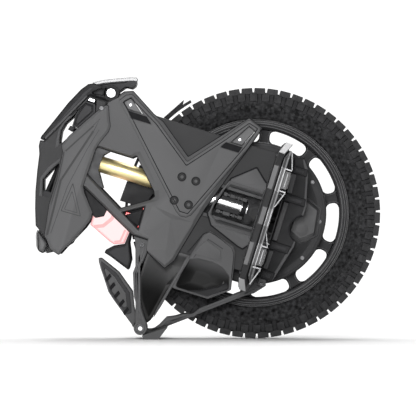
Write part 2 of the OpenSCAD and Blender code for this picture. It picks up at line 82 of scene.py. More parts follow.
def mk_mat(name, col, rough=0.5, metal=0.0, var=0.12, var_scale=9.0, bump=0.15, bump_scale=900.0, rough_var=0.08, wear=0.0, wear_col=None, coat=0.0, spec=0.5, grain=None, bump_dist=0.0003):
    m, nt, b = new_mat(name)
    N, L = nt.nodes, nt.links
    b.inputs["Metallic"].default_value = metal
    b.inputs["Specular IOR Level"].default_value = spec if metal > 0.5 else round(spec * 0.22, 3)
    if coat:
        b.inputs["Coat Weight"].default_value = coat
        b.inputs["Coat Roughness"].default_value = 0.12
    tc = N.new("ShaderNodeTexCoord")
    src = tc.outputs["Object"]
    if grain:
        mp = N.new("ShaderNodeMapping")
        mp.inputs["Scale"].default_value = grain
        mp.inputs["Rotation"].default_value = (0, TILT, 0)
        mp.vector_type = "TEXTURE"
        L.new(src, mp.inputs["Vector"])
        gsrc = mp.outputs["Vector"]
    else:
        gsrc = src
    n1 = N.new("ShaderNodeTexNoise"); n1.inputs["Scale"].default_value = var_scale; n1.inputs["Detail"].default_value = 6
    L.new(src, n1.inputs["Vector"])
    cr = N.new("ShaderNodeValToRGB")
    cr.color_ramp.elements[0].position = 0.3; cr.color_ramp.elements[1].position = 0.7
    c0 = [c * (1 - var) for c in col]; c1 = [min(1, c * (1 + var)) for c in col]
    cr.color_ramp.elements[0].color = (*c0, 1); cr.color_ramp.elements[1].color = (*c1, 1)
    L.new(n1.outputs["Fac"], cr.inputs["Fac"])
    colour = cr.outputs["Color"]
    n2 = N.new("ShaderNodeTexNoise"); n2.inputs["Scale"].default_value = bump_scale; n2.inputs["Detail"].default_value = 3
    L.new(gsrc, n2.inputs["Vector"])
    if wear:
        geo = N.new("ShaderNodeNewGeometry")
        w = N.new("ShaderNodeValToRGB")
        w.color_ramp.elements[0].position = 0.52; w.color_ramp.elements[1].position = 0.62
        w.color_ramp.elements[1].color = (wear, wear, wear, 1)
        L.new(geo.outputs["Pointiness"], w.inputs["Fac"])
        mx = N.new("ShaderNodeMix"); mx.data_type = "RGBA"
        L.new(w.outputs["Color"], mx.inputs[0])
        L.new(colour, mx.inputs[6]); mx.inputs[7].default_value = (*(wear_col or [min(1, c * 2.2) for c in col]), 1)
        colour = mx.outputs[2]
    L.new(colour, b.inputs["Base Color"])
    mr = N.new("ShaderNodeMapRange")
    mr.inputs["From Min"].default_value = 0.3; mr.inputs["From Max"].default_value = 0.7
    mr.inputs["To Min"].default_value = max(0.02, rough - rough_var); mr.inputs["To Max"].default_value = min(1, rough + rough_var)
    n3 = N.new("ShaderNodeTexNoise"); n3.inputs["Scale"].default_value = var_scale * 4; n3.inputs["Detail"].default_value = 5
    L.new(gsrc, n3.inputs["Vector"])
    L.new(n3.outputs["Fac"], mr.inputs["Value"]); L.new(mr.outputs["Result"], b.inputs["Roughness"])
    if bump:
        bp = N.new("ShaderNodeBump"); bp.inputs["Strength"].default_value = bump; bp.inputs["Distance"].default_value = bump_dist
        L.new(n2.outputs["Fac"], bp.inputs["Height"]); L.new(bp.outputs["Normal"], b.inputs["Normal"])
    return m


def lens_mat(name, col, emit, strength, rough=0.12):
    m, nt, b = new_mat(name)
    N, L = nt.nodes, nt.links
    tc = N.new("ShaderNodeTexCoord")
    w = N.new("ShaderNodeTexWave"); w.inputs["Scale"].default_value = 160; w.inputs["Distortion"].default_value = 0.3
    L.new(tc.outputs["Object"], w.inputs["Vector"])
    cr = N.new("ShaderNodeValToRGB")
    cr.color_ramp.elements[0].color = (*[c * 0.93 for c in col], 1); cr.color_ramp.elements[1].color = (*col, 1)
    L.new(w.outputs["Fac"], cr.inputs["Fac"]); L.new(cr.outputs["Color"], b.inputs["Base Color"])
    bp = N.new("ShaderNodeBump"); bp.inputs["Strength"].default_value = 0.15; bp.inputs["Distance"].default_value = 0.0003
    L.new(w.outputs["Fac"], bp.inputs["Height"]); L.new(bp.outputs["Normal"], b.inputs["Normal"])
    b.inputs["Roughness"].default_value = rough
    b.inputs["Emission Color"].default_value = (*emit, 1)
    b.inputs["Emission Strength"].default_value = strength
    b.inputs["Coat Weight"].default_value = 0.5
    return m


CH = 0.105
MT = {
    "body": mk_mat("matt_charcoal", (0.085, 0.085, 0.087), 0.62, 0, 0.07, 7, 0.18, 1400, 0.05, wear=0.15, spec=0.35),
    "cover": mk_mat("matt_charcoal_cover", (0.088, 0.088, 0.09), 0.58, 0, 0.06, 6, 0.2, 1300, 0.05, wear=0.15, spec=0.35),
    "plate": mk_mat("powder_coat", (0.092, 0.092, 0.094), 0.52, 0.0, 0.06, 6, 0.16, 1700, 0.05, wear=0.15, spec=0.4),
    "shell": mk_mat("dark_shell", (0.035, 0.035, 0.037), 0.5, 0, 0.08, 8, 0.18, 1500, 0.06, wear=0.15, spec=0.4),
    "dark": mk_mat("black_plastic", (0.014, 0.014, 0.015), 0.45, 0, 0.12, 12, 0.22, 1100, 0.08, wear=0.15, spec=0.4),
    "black": mk_mat("deep_black", (0.008, 0.008, 0.009), 0.55, 0, 0.1, 12, 0.1, 1100, 0.05, spec=0.3),
    "tyre": mk_mat("tyre_rubber", (0.02, 0.02, 0.021), 0.75, 0, 0.95, 150, 1.0, 380, 0.1, wear=0.3, wear_col=(0.06, 0.06, 0.062), spec=0.5, bump_dist=0.0018),
    "rim": mk_mat("rim_black", (0.014, 0.014, 0.015), 0.4, 0.15, 0.1, 10, 0.08, 1500, 0.06, spec=0.5),
    "lip": mk_mat("rim_lip", (0.05, 0.05, 0.052), 0.38, 0.3, 0.08, 20, 0.06, 1800, 0.06),
    "hub": mk_mat("cast_cover", (0.022, 0.022, 0.023), 0.42, 0.2, 0.12, 14, 0.25, 900, 0.06, wear=0.2),
    "boss": mk_mat("cast_boss", (0.05, 0.05, 0.051), 0.38, 0.2, 0.08, 14, 0.15, 1000, 0.05),
    "steel": mk_mat("satin_steel", (0.24, 0.24, 0.245), 0.34, 1.0, 0.06, 20, 0.1, 600, 0.08, grain=(1, 1, 0.05)),
    "bright": mk_mat("bright_alloy", (0.42, 0.42, 0.43), 0.32, 1.0, 0.06, 30, 0.12, 500, 0.1, grain=(0.05, 1, 1)),
    "alloy": mk_mat("blasted_alloy", (0.035, 0.035, 0.036), 0.42, 0.4, 0.08, 18, 0.2, 900, 0.07),
    "chrome": mk_mat("chrome", (0.93, 0.93, 0.94), 0.2, 0.9, 0.02, 12, 0.02, 400, 0.03),
    "gold": mk_mat("gold_anodised", (0.93, 0.79, 0.41), 0.36, 0.9, 0.03, 12, 0.02, 700, 0.03),
    "pedal": mk_mat("pedal_alloy", (0.035, 0.035, 0.036), 0.5, 0.2, 0.08, 14, 0.25, 1000, 0.06, wear=0.2),
    "grip": mk_mat("grip_tape", (0.02, 0.02, 0.021), 0.95, 0, 0.4, 900, 1.0, 1600, 0.04, bump_dist=0.0008, spec=0.2),
    "foot": mk_mat("foot_rubber", (0.085, 0.085, 0.087), 0.75, 0, 0.1, 14, 0.35, 800, 0.06, spec=0.3),
    "button": mk_mat("button_red", (0.45, 0.02, 0.02), 0.25, 0, 0.1, 30, 0.05, 400, 0.05, coat=0.6),
    "pack": mk_mat("pack_blue", (0.02, 0.05, 0.2), 0.35, 0, 0.1, 20, 0.2, 300, 0.1),
    "copper": mk_mat("stator", (0.35, 0.15, 0.06), 0.35, 0.8, 0.2, 50, 0.3, 200, 0.1),
    # painted highlight: the near-white pin centres stand for the highlight on each pin
    "pin_highlight": mk_mat("pivot_painted_highlight", (0.85, 0.85, 0.86), 0.3, 0.2, 0.03, 20, 0.05, 600, 0.05),
    "red_lens": lens_mat("tail_lens", (0.12, 0.07, 0.07), (1.0, 0.68, 0.68), 0.92, 0.4),
    "red_glow": lens_mat("red_strip", (0.3, 0.01, 0.01), (1.0, 0.03, 0.03), 0.55),
    "head_lens": lens_mat("head_lens", (0.10, 0.102, 0.108), (0.9, 0.93, 1.0), 0.02, 0.3),
}


MT.update({
    "tyre_block": mk_mat("tread_block", (0.026, 0.026, 0.027), 0.65, 0, 0.4, 90, 0.5, 500, 0.1, wear=0.4, wear_col=(0.07, 0.07, 0.072), spec=0.4, bump_dist=0.0006),
    "tyre_knob": mk_mat("tread_knob", (0.018, 0.018, 0.019), 0.7, 0, 0.3, 90, 0.5, 500, 0.1, wear=0.4, wear_col=(0.07, 0.07, 0.072), spec=0.3, bump_dist=0.0006),
    "tyre_pad": mk_mat("wall_pad", (0.03, 0.03, 0.031), 0.7, 0, 0.5, 110, 0.5, 500, 0.1, spec=0.35),
    "lipd": mk_mat("rim_edge", (0.07, 0.07, 0.072), 0.36, 0.6, 0.1, 20, 0.06, 1500, 0.06),
    "hub2": mk_mat("cast_ridge", (0.032, 0.032, 0.033), 0.42, 0.2, 0.1, 14, 0.2, 900, 0.05),
    "box": mk_mat("box_case", (0.035, 0.035, 0.036), 0.55, 0, 0.08, 9, 0.2, 1100, 0.05, wear=0.2, spec=0.35),
    "panel": mk_mat("raised_panel", (0.085, 0.085, 0.087), 0.55, 0, 0.06, 7, 0.16, 1500, 0.05, wear=0.2, spec=0.4),
    "insert": mk_mat("corner_block", (0.105, 0.105, 0.107), 0.5, 0.1, 0.06, 10, 0.12, 1500, 0.05, wear=0.2, spec=0.4),
    "ledge": mk_mat("pale_ledge", (0.07, 0.07, 0.072), 0.5, 0, 0.06, 9, 0.14, 1400, 0.05, wear=0.2, spec=0.4),
    "bolt": mk_mat("bolt_black", (0.035, 0.035, 0.037), 0.32, 0.6, 0.08, 30, 0.06, 900, 0.06),
    "lipl": mk_mat("rim_line", (0.12, 0.12, 0.122), 0.45, 0.2, 0.1, 20, 0.05, 1500, 0.05),
    "boltd": mk_mat("bolt_dark", (0.03, 0.03, 0.031), 0.5, 0.0, 0.08, 30, 0.06, 900, 0.06, spec=0.4),
    "gloss": mk_mat("gloss_black", (0.016, 0.016, 0.017), 0.36, 0, 0.08, 7, 0.08, 1200, 0.04, spec=0.5),
    "gloss2": mk_mat("scoop_grey", (0.04, 0.04, 0.041), 0.42, 0, 0.08, 7, 0.12, 1200, 0.04, spec=0.4),
    "groove": mk_mat("groove_grey", (0.052, 0.052, 0.053), 0.55, 0, 0.05, 9, 0.15, 1300, 0.05, spec=0.35),
    "shell2": mk_mat("shell_grey", (0.036, 0.036, 0.037), 0.5, 0, 0.06, 7, 0.16, 1400, 0.05, wear=0.15, spec=0.4),
    "end_facet": mk_mat("pedal_end", (0.42, 0.42, 0.425), 0.4, 0.2, 0.05, 14, 0.12, 1000, 0.06),
    "truss": mk_mat("pedal_truss", (0.075, 0.075, 0.076), 0.45, 0.5, 0.1, 30, 0.25, 700, 0.1, grain=(0.05, 1, 1)),
    "chain": mk_mat("bright_edge", (0.26, 0.26, 0.265), 0.4, 0.4, 0.1, 40, 0.15, 700, 0.08),
    "facet": mk_mat("pedal_facet", (0.11, 0.11, 0.112), 0.45, 0.1, 0.06, 14, 0.15, 1000, 0.06),
    "lens_line": lens_mat("lens_line", (0.1, 0.05, 0.05), (0.80, 0.38, 0.38), 0.85, 0.4),
    "lens_edge": lens_mat("lens_edge", (0.1, 0.04, 0.04), (0.80, 0.30, 0.31), 0.85, 0.4),
})


def leather():
    m, nt, b = new_mat("grey_leather")
    N, L = nt.nodes, nt.links
    tc = N.new("ShaderNodeTexCoord")
    v = N.new("ShaderNodeTexVoronoi"); v.inputs["Scale"].default_value = 900; v.feature = "SMOOTH_F1"
    n = N.new("ShaderNodeTexNoise"); n.inputs["Scale"].default_value = 25; n.inputs["Detail"].default_value = 6
    L.new(tc.outputs["Object"], v.inputs["Vector"]); L.new(tc.outputs["Object"], n.inputs["Vector"])
    cr = N.new("ShaderNodeValToRGB")
    cr.color_ramp.elements[0].color = (0.075, 0.075, 0.077, 1); cr.color_ramp.elements[1].color = (0.11, 0.11, 0.112, 1)
    L.new(n.outputs["Fac"], cr.inputs["Fac"]); L.new(cr.outputs["Color"], b.inputs["Base Color"])
    b.inputs["Roughness"].default_value = 0.55
    b.inputs["Sheen Weight"].default_value = 0.25
    bp = N.new("ShaderNodeBump"); bp.inputs["Strength"].default_value = 0.5; bp.inputs["Distance"].default_value = 0.0004
    L.new(v.outputs["Distance"], bp.inputs["Height"]); L.new(bp.outputs["Normal"], b.inputs["Normal"])
    return m


MT["leather"] = leather()


def painted_recess_shade_mat(name, c0, c1, x0, x1):
    """Matt skin with painted shade: the base colour darkens evenly into a recess, from upright x0 to x1 (mm)."""
    m, nt, b = new_mat(name)
    N, L = nt.nodes, nt.links
    tc = N.new("ShaderNodeTexCoord")
    mp = N.new("ShaderNodeMapping"); mp.vector_type = "POINT"
    p0 = M @ Vector((x0, 0, 0)); p1 = M @ Vector((x1, 0, 0))
    d = (p1 - p0) / (p1 - p0).length_squared
    dot = N.new("ShaderNodeVectorMath"); dot.operation = "DOT_PRODUCT"
    mp.inputs["Location"].default_value = tuple(-p0)
    L.new(tc.outputs["Object"], mp.inputs["Vector"]); L.new(mp.outputs["Vector"], dot.inputs[0])
    dot.inputs[1].default_value = tuple(d)
    ns = N.new("ShaderNodeTexNoise"); ns.inputs["Scale"].default_value = 9; ns.inputs["Detail"].default_value = 4
    L.new(tc.outputs["Object"], ns.inputs["Vector"])
    ad = N.new("ShaderNodeMath"); ad.operation = "MULTIPLY_ADD"; ad.inputs[1].default_value = 0.16; ad.inputs[2].default_value = -0.08
    L.new(ns.outputs["Fac"], ad.inputs[0])
    sm = N.new("ShaderNodeMath"); sm.operation = "ADD"
    L.new(dot.outputs["Value"], sm.inputs[0]); L.new(ad.outputs["Value"], sm.inputs[1])
    cr = N.new("ShaderNodeValToRGB")
    cr.color_ramp.interpolation = "EASE"
    cr.color_ramp.elements[0].color = (*c0, 1); cr.color_ramp.elements[1].color = (*c1, 1)
    cr.color_ramp.elements[0].position = 0.0; cr.color_ramp.elements[1].position = 1.0
    L.new(sm.outputs["Value"], cr.inputs["Fac"]); L.new(cr.outputs["Color"], b.inputs["Base Color"])
    b.inputs["Roughness"].default_value = 0.5
    b.inputs["Specular IOR Level"].default_value = 0.15
    n2 = N.new("ShaderNodeTexNoise"); n2.inputs["Scale"].default_value = 1300; n2.inputs["Detail"].default_value = 3
    L.new(tc.outputs["Object"], n2.inputs["Vector"])
    bp = N.new("ShaderNodeBump"); bp.inputs["Strength"].default_value = 0.15; bp.inputs["Distance"].default_value = 0.0003
    L.new(n2.outputs["Fac"], bp.inputs["Height"]); L.new(bp.outputs["Normal"], b.inputs["Normal"])
    return m


# painted shade: the fairing bowl and the rear scoop darken into their hollows through the base colour itself
MT["bowl"] = painted_recess_shade_mat("fairing_bowl_painted_shade", (0.08, 0.08, 0.082), (0.004, 0.004, 0.004), -112, -150)
MT["scoop"] = painted_recess_shade_mat("scoop_bowl_painted_shade", (0.075, 0.075, 0.076), (0.006, 0.006, 0.006), -135, -215)

# ---------------------------------------------------------------- mesh helpers
def area2(p):
    return sum(p[i][0] * p[(i + 1) % len(p)][1] - p[(i + 1) % len(p)][0] * p[i][1] for i in range(len(p)))


def offs(poly, d):
    """Moves each edge of a counter-clockwise outline inward by d (a number, or one per edge)."""
    n = len(poly)
    dd = d if isinstance(d, (list, tuple)) else [d] * n
    lines = []
    for i in range(n):
        (x1, y1), (x2, y2) = poly[i], poly[(i + 1) % n]
        l = math.hypot(x2 - x1, y2 - y1) or 1e-9
        nx, ny = -(y2 - y1) / l, (x2 - x1) / l
        lines.append((x1 + nx * dd[i], y1 + ny * dd[i], (x2 - x1) / l, (y2 - y1) / l, nx, ny))
    out = []
    for i in range(n):
        ax, ay, ux, uy, nx, ny = lines[i - 1]
        bx, by, vx, vy, mx, my = lines[i]
        c = ux * vy - uy * vx
        if abs(c) < 0.05:
            out.append((poly[i][0] + (nx * dd[i - 1] + mx * dd[i]) / 2, poly[i][1] + (ny * dd[i - 1] + my * dd[i]) / 2))
        else:
            t = ((bx - ax) * vy - (by - ay) * vx) / c
            out.append((ax + ux * t, ay + uy * t))
    return out


def fil(poly, r, n=4):
    """Rounds each corner with n segments; r is a number or one per corner."""
    k = len(poly)
    rr = r if isinstance(r, (list, tuple)) else [r] * k
    out = []
    for i in range(k):
        p0, p1, p2 = Vector(poly[i - 1]), Vector(poly[i]), Vector(poly[(i + 1) % k])
        a, b = (p0 - p1), (p2 - p1)
        la, lb = a.length, b.length
        if la < 1e-6 or lb < 1e-6:
            out += [tuple(p1)] * (n + 1)
            continue
        a, b = a / la, b / lb
        ang = max(0.02, math.acos(max(-1, min(1, a.dot(b)))))
        t = min(rr[i] / math.tan(ang / 2), la * 0.45, lb * 0.45)
        t = max(t, 0.02)
        s, e = p1 + a * t, p1 + b * t
        for j in range(n + 1):
            u = j / n
            q = (1 - u) ** 2 * s + 2 * u * (1 - u) * p1 + u * u * e
            out.append((q.x, q.y))
    return out


def ccw(poly):
    poly = [tuple(p) for p in poly]
    return poly if area2(poly) > 0 else poly[::-1]


def finish_obj(name, verts, faces, mat, body, reps=(), slot=None, bev=0.5, smooth=35, mats=None, fmat=None, segs=2, sub=0, wn=True, flat=False):
    me = bpy.data.meshes.new(name)
    me.from_pydata([tuple(M @ Vector(v)) for v in verts], [], faces)
    o = bpy.data.objects.new(name, me)
    bpy.context.scene.collection.objects.link(o)
    bm = bmesh.new(); bm.from_mesh(me)
    bmesh.ops.remove_doubles(bm, verts=bm.verts, dist=1e-6)
    bmesh.ops.dissolve_degenerate(bm, dist=1e-6, edges=bm.edges)
    bmesh.ops.recalc_face_normals(bm, faces=bm.faces)
    if flat:
        bmesh.ops.dissolve_limit(bm, angle_limit=math.radians(0.3), verts=bm.verts, edges=bm.edges)
    bm.to_mesh(me); bm.free()
    for m in (mats or [mat]):
        me.materials.append(MT[m])
    if fmat and len(fmat) == len(me.polygons):
        for p, k in zip(me.polygons, fmat):
            p.material_index = k
    me.shade_smooth() if hasattr(me, "shade_smooth") else [setattr(p, "use_smooth", True) for p in me.polygons]
    me.set_sharp_from_angle(angle=math.radians(smooth))
    if bev:
        b = o.modifiers.new("bevel", "BEVEL"); b.width = bev / 1000; b.segments = segs; b.limit_method = "ANGLE"; b.angle_limit = math.radians(max(28, smooth - 4)); b.harden_normals = True; b.use_clamp_overlap = True
    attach(o, body)
    if reps:
        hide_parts(*reps)
    return o


def slab_mesh(outer, levels, holes=(), r=1.0, n=3, s=-1):
    """Stack of outlines (|y|, inset[, hole inset]) from the inner face to the outer face, closed at both ends."""
    outer = ccw(outer)
    holes = [h if isinstance(h, dict) else {"p": h} for h in holes]
    V, F = [], []
    rings = []
    for lv in levels:
        y, ins = lv[0], lv[1]
        hin = lv[2] if len(lv) > 2 else 0
        ring_set = [fil(offs(outer, ins), r, n)]
        for h in holes:
            hp = ccw(h["p"])
            ring_set.append(fil(offs(hp, [-hin * h.get("k", 1)] * len(hp)), h.get("r", 0.8), h.get("n", 3)))
        idx = []
        for ring in ring_set:
            start = len(V)
            V += [(p[0], s * y, p[1]) for p in ring]
            idx.append((start, len(ring)))
        rings.append((idx, ring_set))
    for a, b in zip(rings, rings[1:]):
        for (sa, na), (sb, nb) in zip(a[0], b[0]):
            for i in range(na):
                j = (i + 1) % na
                F.append((sa + i, sa + j, sb + j, sb + i))
    for idx, rs in (rings[0], rings[-1]):
        flat = []
        for (st, nn) in idx:
            flat += list(range(st, st + nn))
        tris = tessellate_polygon([[Vector((p[0], p[1], 0)) for p in ring] for ring in rs])
        for t in tris:
            if len(set(t)) == 3:
                F.append(tuple(flat[k] for k in t))
    return V, F


def edge_list(poly, default, special):
    """Insets for each edge of the outline, in the order ccw() gives; special is keyed by the drawn order."""
    n = len(poly)
    d = [special.get(i, default) for i in range(n)]
    if area2(poly) > 0:
        return d
    return [d[(n - 2 - i) % n] for i in range(n)]


def slab(name, outer, levels, mat="body", body="frame", reps=(), slot=None, holes=(), r=1.0, n=3, s=-1, **k):
    V, F = slab_mesh(outer, levels, holes, r, n, s)
    return finish_obj(name, V, F, mat, body, reps, slot, flat=True, **k)


def stroke(path, w):
    """Outline of a band of width w along an open path."""
    pts = [Vector(p) for p in path]
    L, R = [], []
    for i, p in enumerate(pts):
        a = (pts[min(i + 1, len(pts) - 1)] - p)
        b = (p - pts[max(0, i - 1)])
        a = a.normalized() if a.length > 1e-6 else b.normalized()
        b = b.normalized() if b.length > 1e-6 else a
        d = (a + b).normalized()
        k = 1 / max(0.5, d.dot(a))
        nrm = Vector((-d.y, d.x)) * (w / 2 * k)
        L.append(tuple(p + nrm)); R.append(tuple(p - nrm))
    return L + R[::-1]


def both(fn, *a, **k):
    for s, side in ((-1, "right"), (1, "left")):
        fn(s, side, *a, **k)


def turn_mesh(prof, n=96, a0=0.0, a1=360.0, closed=True):
    """Profile of (radius, y) turned round the axle."""
    V, F = [], []
    full = abs(a1 - a0 - 360) < 1e-6
    steps = n if full else n + 1
    m = len(prof)
    for i in range(steps):
        a = math.radians(a0 + (a1 - a0) * i / n)
        for r, y in prof:
            V.append((r * math.cos(a), y, r * math.sin(a)))
    for i in range(n):
        j = (i + 1) % steps
        for k in range(m if closed else m - 1):
            l = (k + 1) % m
            F.append((i * m + k, i * m + l, j * m + l, j * m + k))
    if not full and closed:
        F.append(tuple(range(m))); F.append(tuple((steps - 1) * m + k for k in range(m - 1, -1, -1)))
    return V, F


def tube_mesh(c, axis, prof, n=32):
    """Profile of (radius, distance along axis) turned round an axis through c (upright mm)."""
    ax = Vector(axis).normalized()
    u = ax.orthogonal().normalized(); w = ax.cross(u)
    V, F = [], []
    m = len(prof)
    for i in range(n):
        a = 2 * math.pi * i / n
        d = u * math.cos(a) + w * math.sin(a)
        for r, t in prof:
            V.append(tuple(Vector(c) + ax * t + d * r))
    for i in range(n):
        j = (i + 1) % n
        for k in range(m - 1):
            F.append((i * m + k, i * m + k + 1, j * m + k + 1, j * m + k))
    return V, F


def closed_tube(c, axis, prof, n=32):
    """As tube_mesh, with the profile's first and last points on the axis or the profile a loop."""
    if prof[0] == prof[-1]:
        V, F = tube_mesh(c, axis, prof, n)
        return V, F
    return tube_mesh(c, axis, [(0.0, prof[0][1])] + list(prof) + [(0.0, prof[-1][1])], n)


def merge(*parts):
    V, F = [], []
    for v, f in parts:
        k = len(V)
        V += list(v)
        F += [tuple(i + k for i in q) for q in f]
    return V, F


def box_mesh(x0, x1, y0, y1, z0, z1, tx=0.0, tz=0.0):
    """Box that may taper: tx and tz pull in the outer (y1) face."""
    V = [(x0, y0, z0), (x1, y0, z0), (x1, y0, z1), (x0, y0, z1), (x0 + tx, y1, z0 + tz), (x1 - tx, y1, z0 + tz), (x1 - tx, y1, z1 - tz), (x0 + tx, y1, z1 - tz)]
    return V, [(0, 1, 2, 3), (7, 6, 5, 4), (0, 4, 5, 1), (1, 5, 6, 2), (2, 6, 7, 3), (3, 7, 4, 0)]


def mirror_y(vf):
    return [(v[0], -v[1], v[2]) for v in vf[0]], vf[1]


def side_of(vf, s):
    return vf if s > 0 else mirror_y(vf)


def refine(node, mat, bev=0.6, name=None, smooth=35):
    """A finished copy of a CAD node: clean faces, rounded edges."""
    src = NODES[node]
    me = src.data.copy()
    me.materials.clear()
    me.materials.append(MT[mat])
    o = bpy.data.objects.new(name or (node + "_finished"), me)
    bpy.context.scene.collection.objects.link(o)
    bm = bmesh.new(); bm.from_mesh(me)
    bmesh.ops.remove_doubles(bm, verts=bm.verts, dist=2e-6)
    bmesh.ops.dissolve_limit(bm, angle_limit=math.radians(1.0), verts=bm.verts, edges=bm.edges, delimit={"NORMAL"})
    bmesh.ops.recalc_face_normals(bm, faces=bm.faces)
    bm.to_mesh(me); bm.free()
    for p in me.polygons:
        p.material_index = 0
        p.use_smooth = True
    me.set_sharp_from_angle(angle=math.radians(smooth))
    if bev:
        b = o.modifiers.new("bevel", "BEVEL"); b.width = bev / 1000; b.segments = 2; b.limit_method = "ANGLE"; b.angle_limit = math.radians(35); b.harden_normals = True
    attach(o, src["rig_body"])
    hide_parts(node)
    return o


def keep(node, mat):
    o = NODES[node]
    o.data.materials.clear()
    o.data.materials.append(MT[mat])


# ---------------------------------------------------------------- wheel
def polar_blk(a, hw, r0, r1, y0, y1, tr=1.2, ty=1.0):
    """Tread block: base at radius r0, top at r1, half width hw mm along the tread, tapered by tr and ty at the top."""
    V = []
    for r, q, e in ((r0, hw, 0.0), (r1, hw - tr, ty)):
        for sx, y in ((-1, y0 + e), (1, y0 + e), (1, y1 - e), (-1, y1 - e)):
            b = a + sx * q / r
            V.append((r * math.cos(b), y, r * math.sin(b)))
    return V, [(3, 2, 1, 0), (4, 5, 6, 7), (0, 1, 5, 4), (1, 2, 6, 5), (2, 3, 7, 6), (3, 0, 4, 7)]


def shoulder_blk(a, hw, pts, s, tr=0.8, depth=3.5):
    """Block laid over the shoulder along pts of (radius, |y|), raised by depth outward."""
    V, F = [], []
    n = len(pts)
    for k, (r, y) in enumerate(pts):
        r0, y0 = pts[max(0, k - 1)]; r1, y1 = pts[min(n - 1, k + 1)]
        dr, dy = r1 - r0, y1 - y0
        l = math.hypot(dr, dy) or 1
        nr, ny = -dy / l, dr / l
        if ny < 0 and abs(ny) > abs(nr) or (abs(nr) >= abs(ny) and nr < 0):
            nr, ny = -nr, -ny
        for lift, q in ((-2.5, hw), (depth, hw - tr)):
            for sx in (-1, 1):
                rr, yy = r + nr * lift, y + ny * lift
                b = a + sx * q / rr
                V.append((rr * math.cos(b), s * yy, rr * math.sin(b)))
    for k in range(n - 1):
        i, j = 4 * k, 4 * (k + 1)
        F += [(i, i + 1, j + 1, j), (i + 2, j + 2, j + 3, i + 3), (i, j, j + 2, i + 2), (i + 1, i + 3, j + 3, j + 1)]
    F += [(0, 2, 3, 1), (4 * n - 4, 4 * n - 3, 4 * n - 1, 4 * n - 2)]
    return V, F


carc = [(240.8, 0), (240.3, 12), (238.5, 22), (234.5, 29.5), (228, 34), (219, 36.6), (210, 37.2), (206.5, 37.6), (205.6, 37.0), (201, 35.6), (200.4, 36.0), (199.4, 35.4), (195, 33.8), (191.5, 32.2), (189.6, 32.0), (188.6, 30.4), (187.2, 29.6), (186.7, 24.3)]
inner = [(178.6, 23.6), (178.4, 18.7), (188, 18.6), (201, 30), (221, 31.4), (234, 25), (238, 0)]
half = carc + inner[:-1]
prof = half + [(238, 0)] + [(r, -y) for r, y in reversed(inner[:-1])] + [(r, -y) for r, y in reversed(carc[1:])]
V, F = turn_mesh(prof, 240)
finish_obj("tyre_casing", V, F, "tyre", "wheel", reps=["tyre"], slot="tyre_rubber", bev=0, smooth=28)
random.seed(7)
parts_c, parts_s, parts_u = [], [], []
NP = 60
for i in range(NP):
    a = 2 * math.pi * (i + 0.5) / NP
    for s in (-1, 1):
        parts_c.append(polar_blk(a, 11.2, 240.2, 249.3, *(sorted((s * 3.0, s * 15.5))), 0.7, 0.7))
        parts_c.append(polar_blk(a, 11.2, 237.0, 248.4, *(sorted((s * 17.8, s * 29.0))), 0.8, 1.0))
        parts_s.append(shoulder_blk(a + math.pi / NP, 8.2, [(236.5, 28.5), (233.0, 32.0), (227.5, 34.6), (222.5, 35.9)], s, 1.0, 2.2))
        parts_u.append(shoulder_blk(a, 4.6, [(236.0, 29.0), (231.5, 32.8), (225.5, 35.2), (218.5, 36.6)], s, 1.0, 1.5))
V, F = merge(*parts_c)
finish_obj("tyre_centre_blocks", V, F, "tyre_block", "wheel", slot="tyre_rubber", bev=0.9, smooth=30)
V, F = merge(*parts_s)
finish_obj("tyre_shoulder_blocks", V, F, "tyre_block", "wheel", slot="tyre_rubber", bev=0.7, smooth=30)
V, F = merge(*parts_u)
finish_obj("tyre_side_knobs", V, F, "tyre_knob", "wheel", slot="tyre_rubber", bev=0.6, smooth=30)
pads = []
for i in range(90):
    a = 2 * math.pi * i / 90
    w = 2.2 + 2.4 * random.random()
    for s in (-1, 1):
        pads.append(shoulder_blk(a, w, [(213.5 - 1.5 * random.random(), 37.0), (208.0 + 1.5 * random.random(), 37.3)], s, 0.4, 0.7))
V, F = merge(*pads)
finish_obj("tyre_wall_pads", V, F, "tyre_pad", "wheel", slot="tyre_rubber", bev=0.2, smooth=30)

rim = refine("rim", "rim", 0.9)
for s, side in ((-1, "right"), (1, "left")):
    V, F = side_of(turn_mesh([(172.8, 28.0), (173.6, 29.3), (176.6, 29.6), (177.0, 29.2), (178.6, 29.2), (179.0, 29.7), (182.8, 29.5), (183.4, 28.9), (184.6, 28.9), (185.2, 29.4), (186.2, 28.6), (185.6, 27.6), (173.0, 27.4)], 200), s)
    finish_obj("rim_band_" + side, V, F, "rim", "wheel", slot="rim_black", bev=0, smooth=40)
    V, F = merge(*[side_of(turn_mesh([(r - 0.35, 29.0), (r - 0.3, y), (r + 0.3, y), (r + 0.35, 29.0)], 200), s) for r, y in ((173.4, 29.75), (178.8, 29.95), (183.0, 29.75), (185.6, 29.5))])
    finish_obj("rim_lines_" + side, V, F, "lipl", "wheel", slot="rim_black", bev=0, smooth=40)
    V, F = side_of(turn_mesh([(137.0, 19.0), (138.4, 20.6), (141.2, 20.6), (141.2, 19.0)], 200), s)
    finish_obj("rim_inner_edge_" + side, V, F, "lipd", "wheel", slot="rim_black", bev=0, smooth=40)
HALF = [(140.9, 7.5), (141.9, 6.9), (143.2, 5.7), (145.6, 4.7), (149.5, 4.0), (155.0, 3.8), (160.5, 4.0), (163.8, 4.7), (165.8, 5.7), (167.0, 7.0), (168.2, 7.9)]
RIDGE = [(141.2, 2.6), (150, 1.5), (156, 1.35), (162, 1.7), (168, 3.2)]


def polar(pts, a):
    return [(r * math.cos(math.radians(a + d)), r * math.sin(math.radians(a + d))) for r, d in pts]


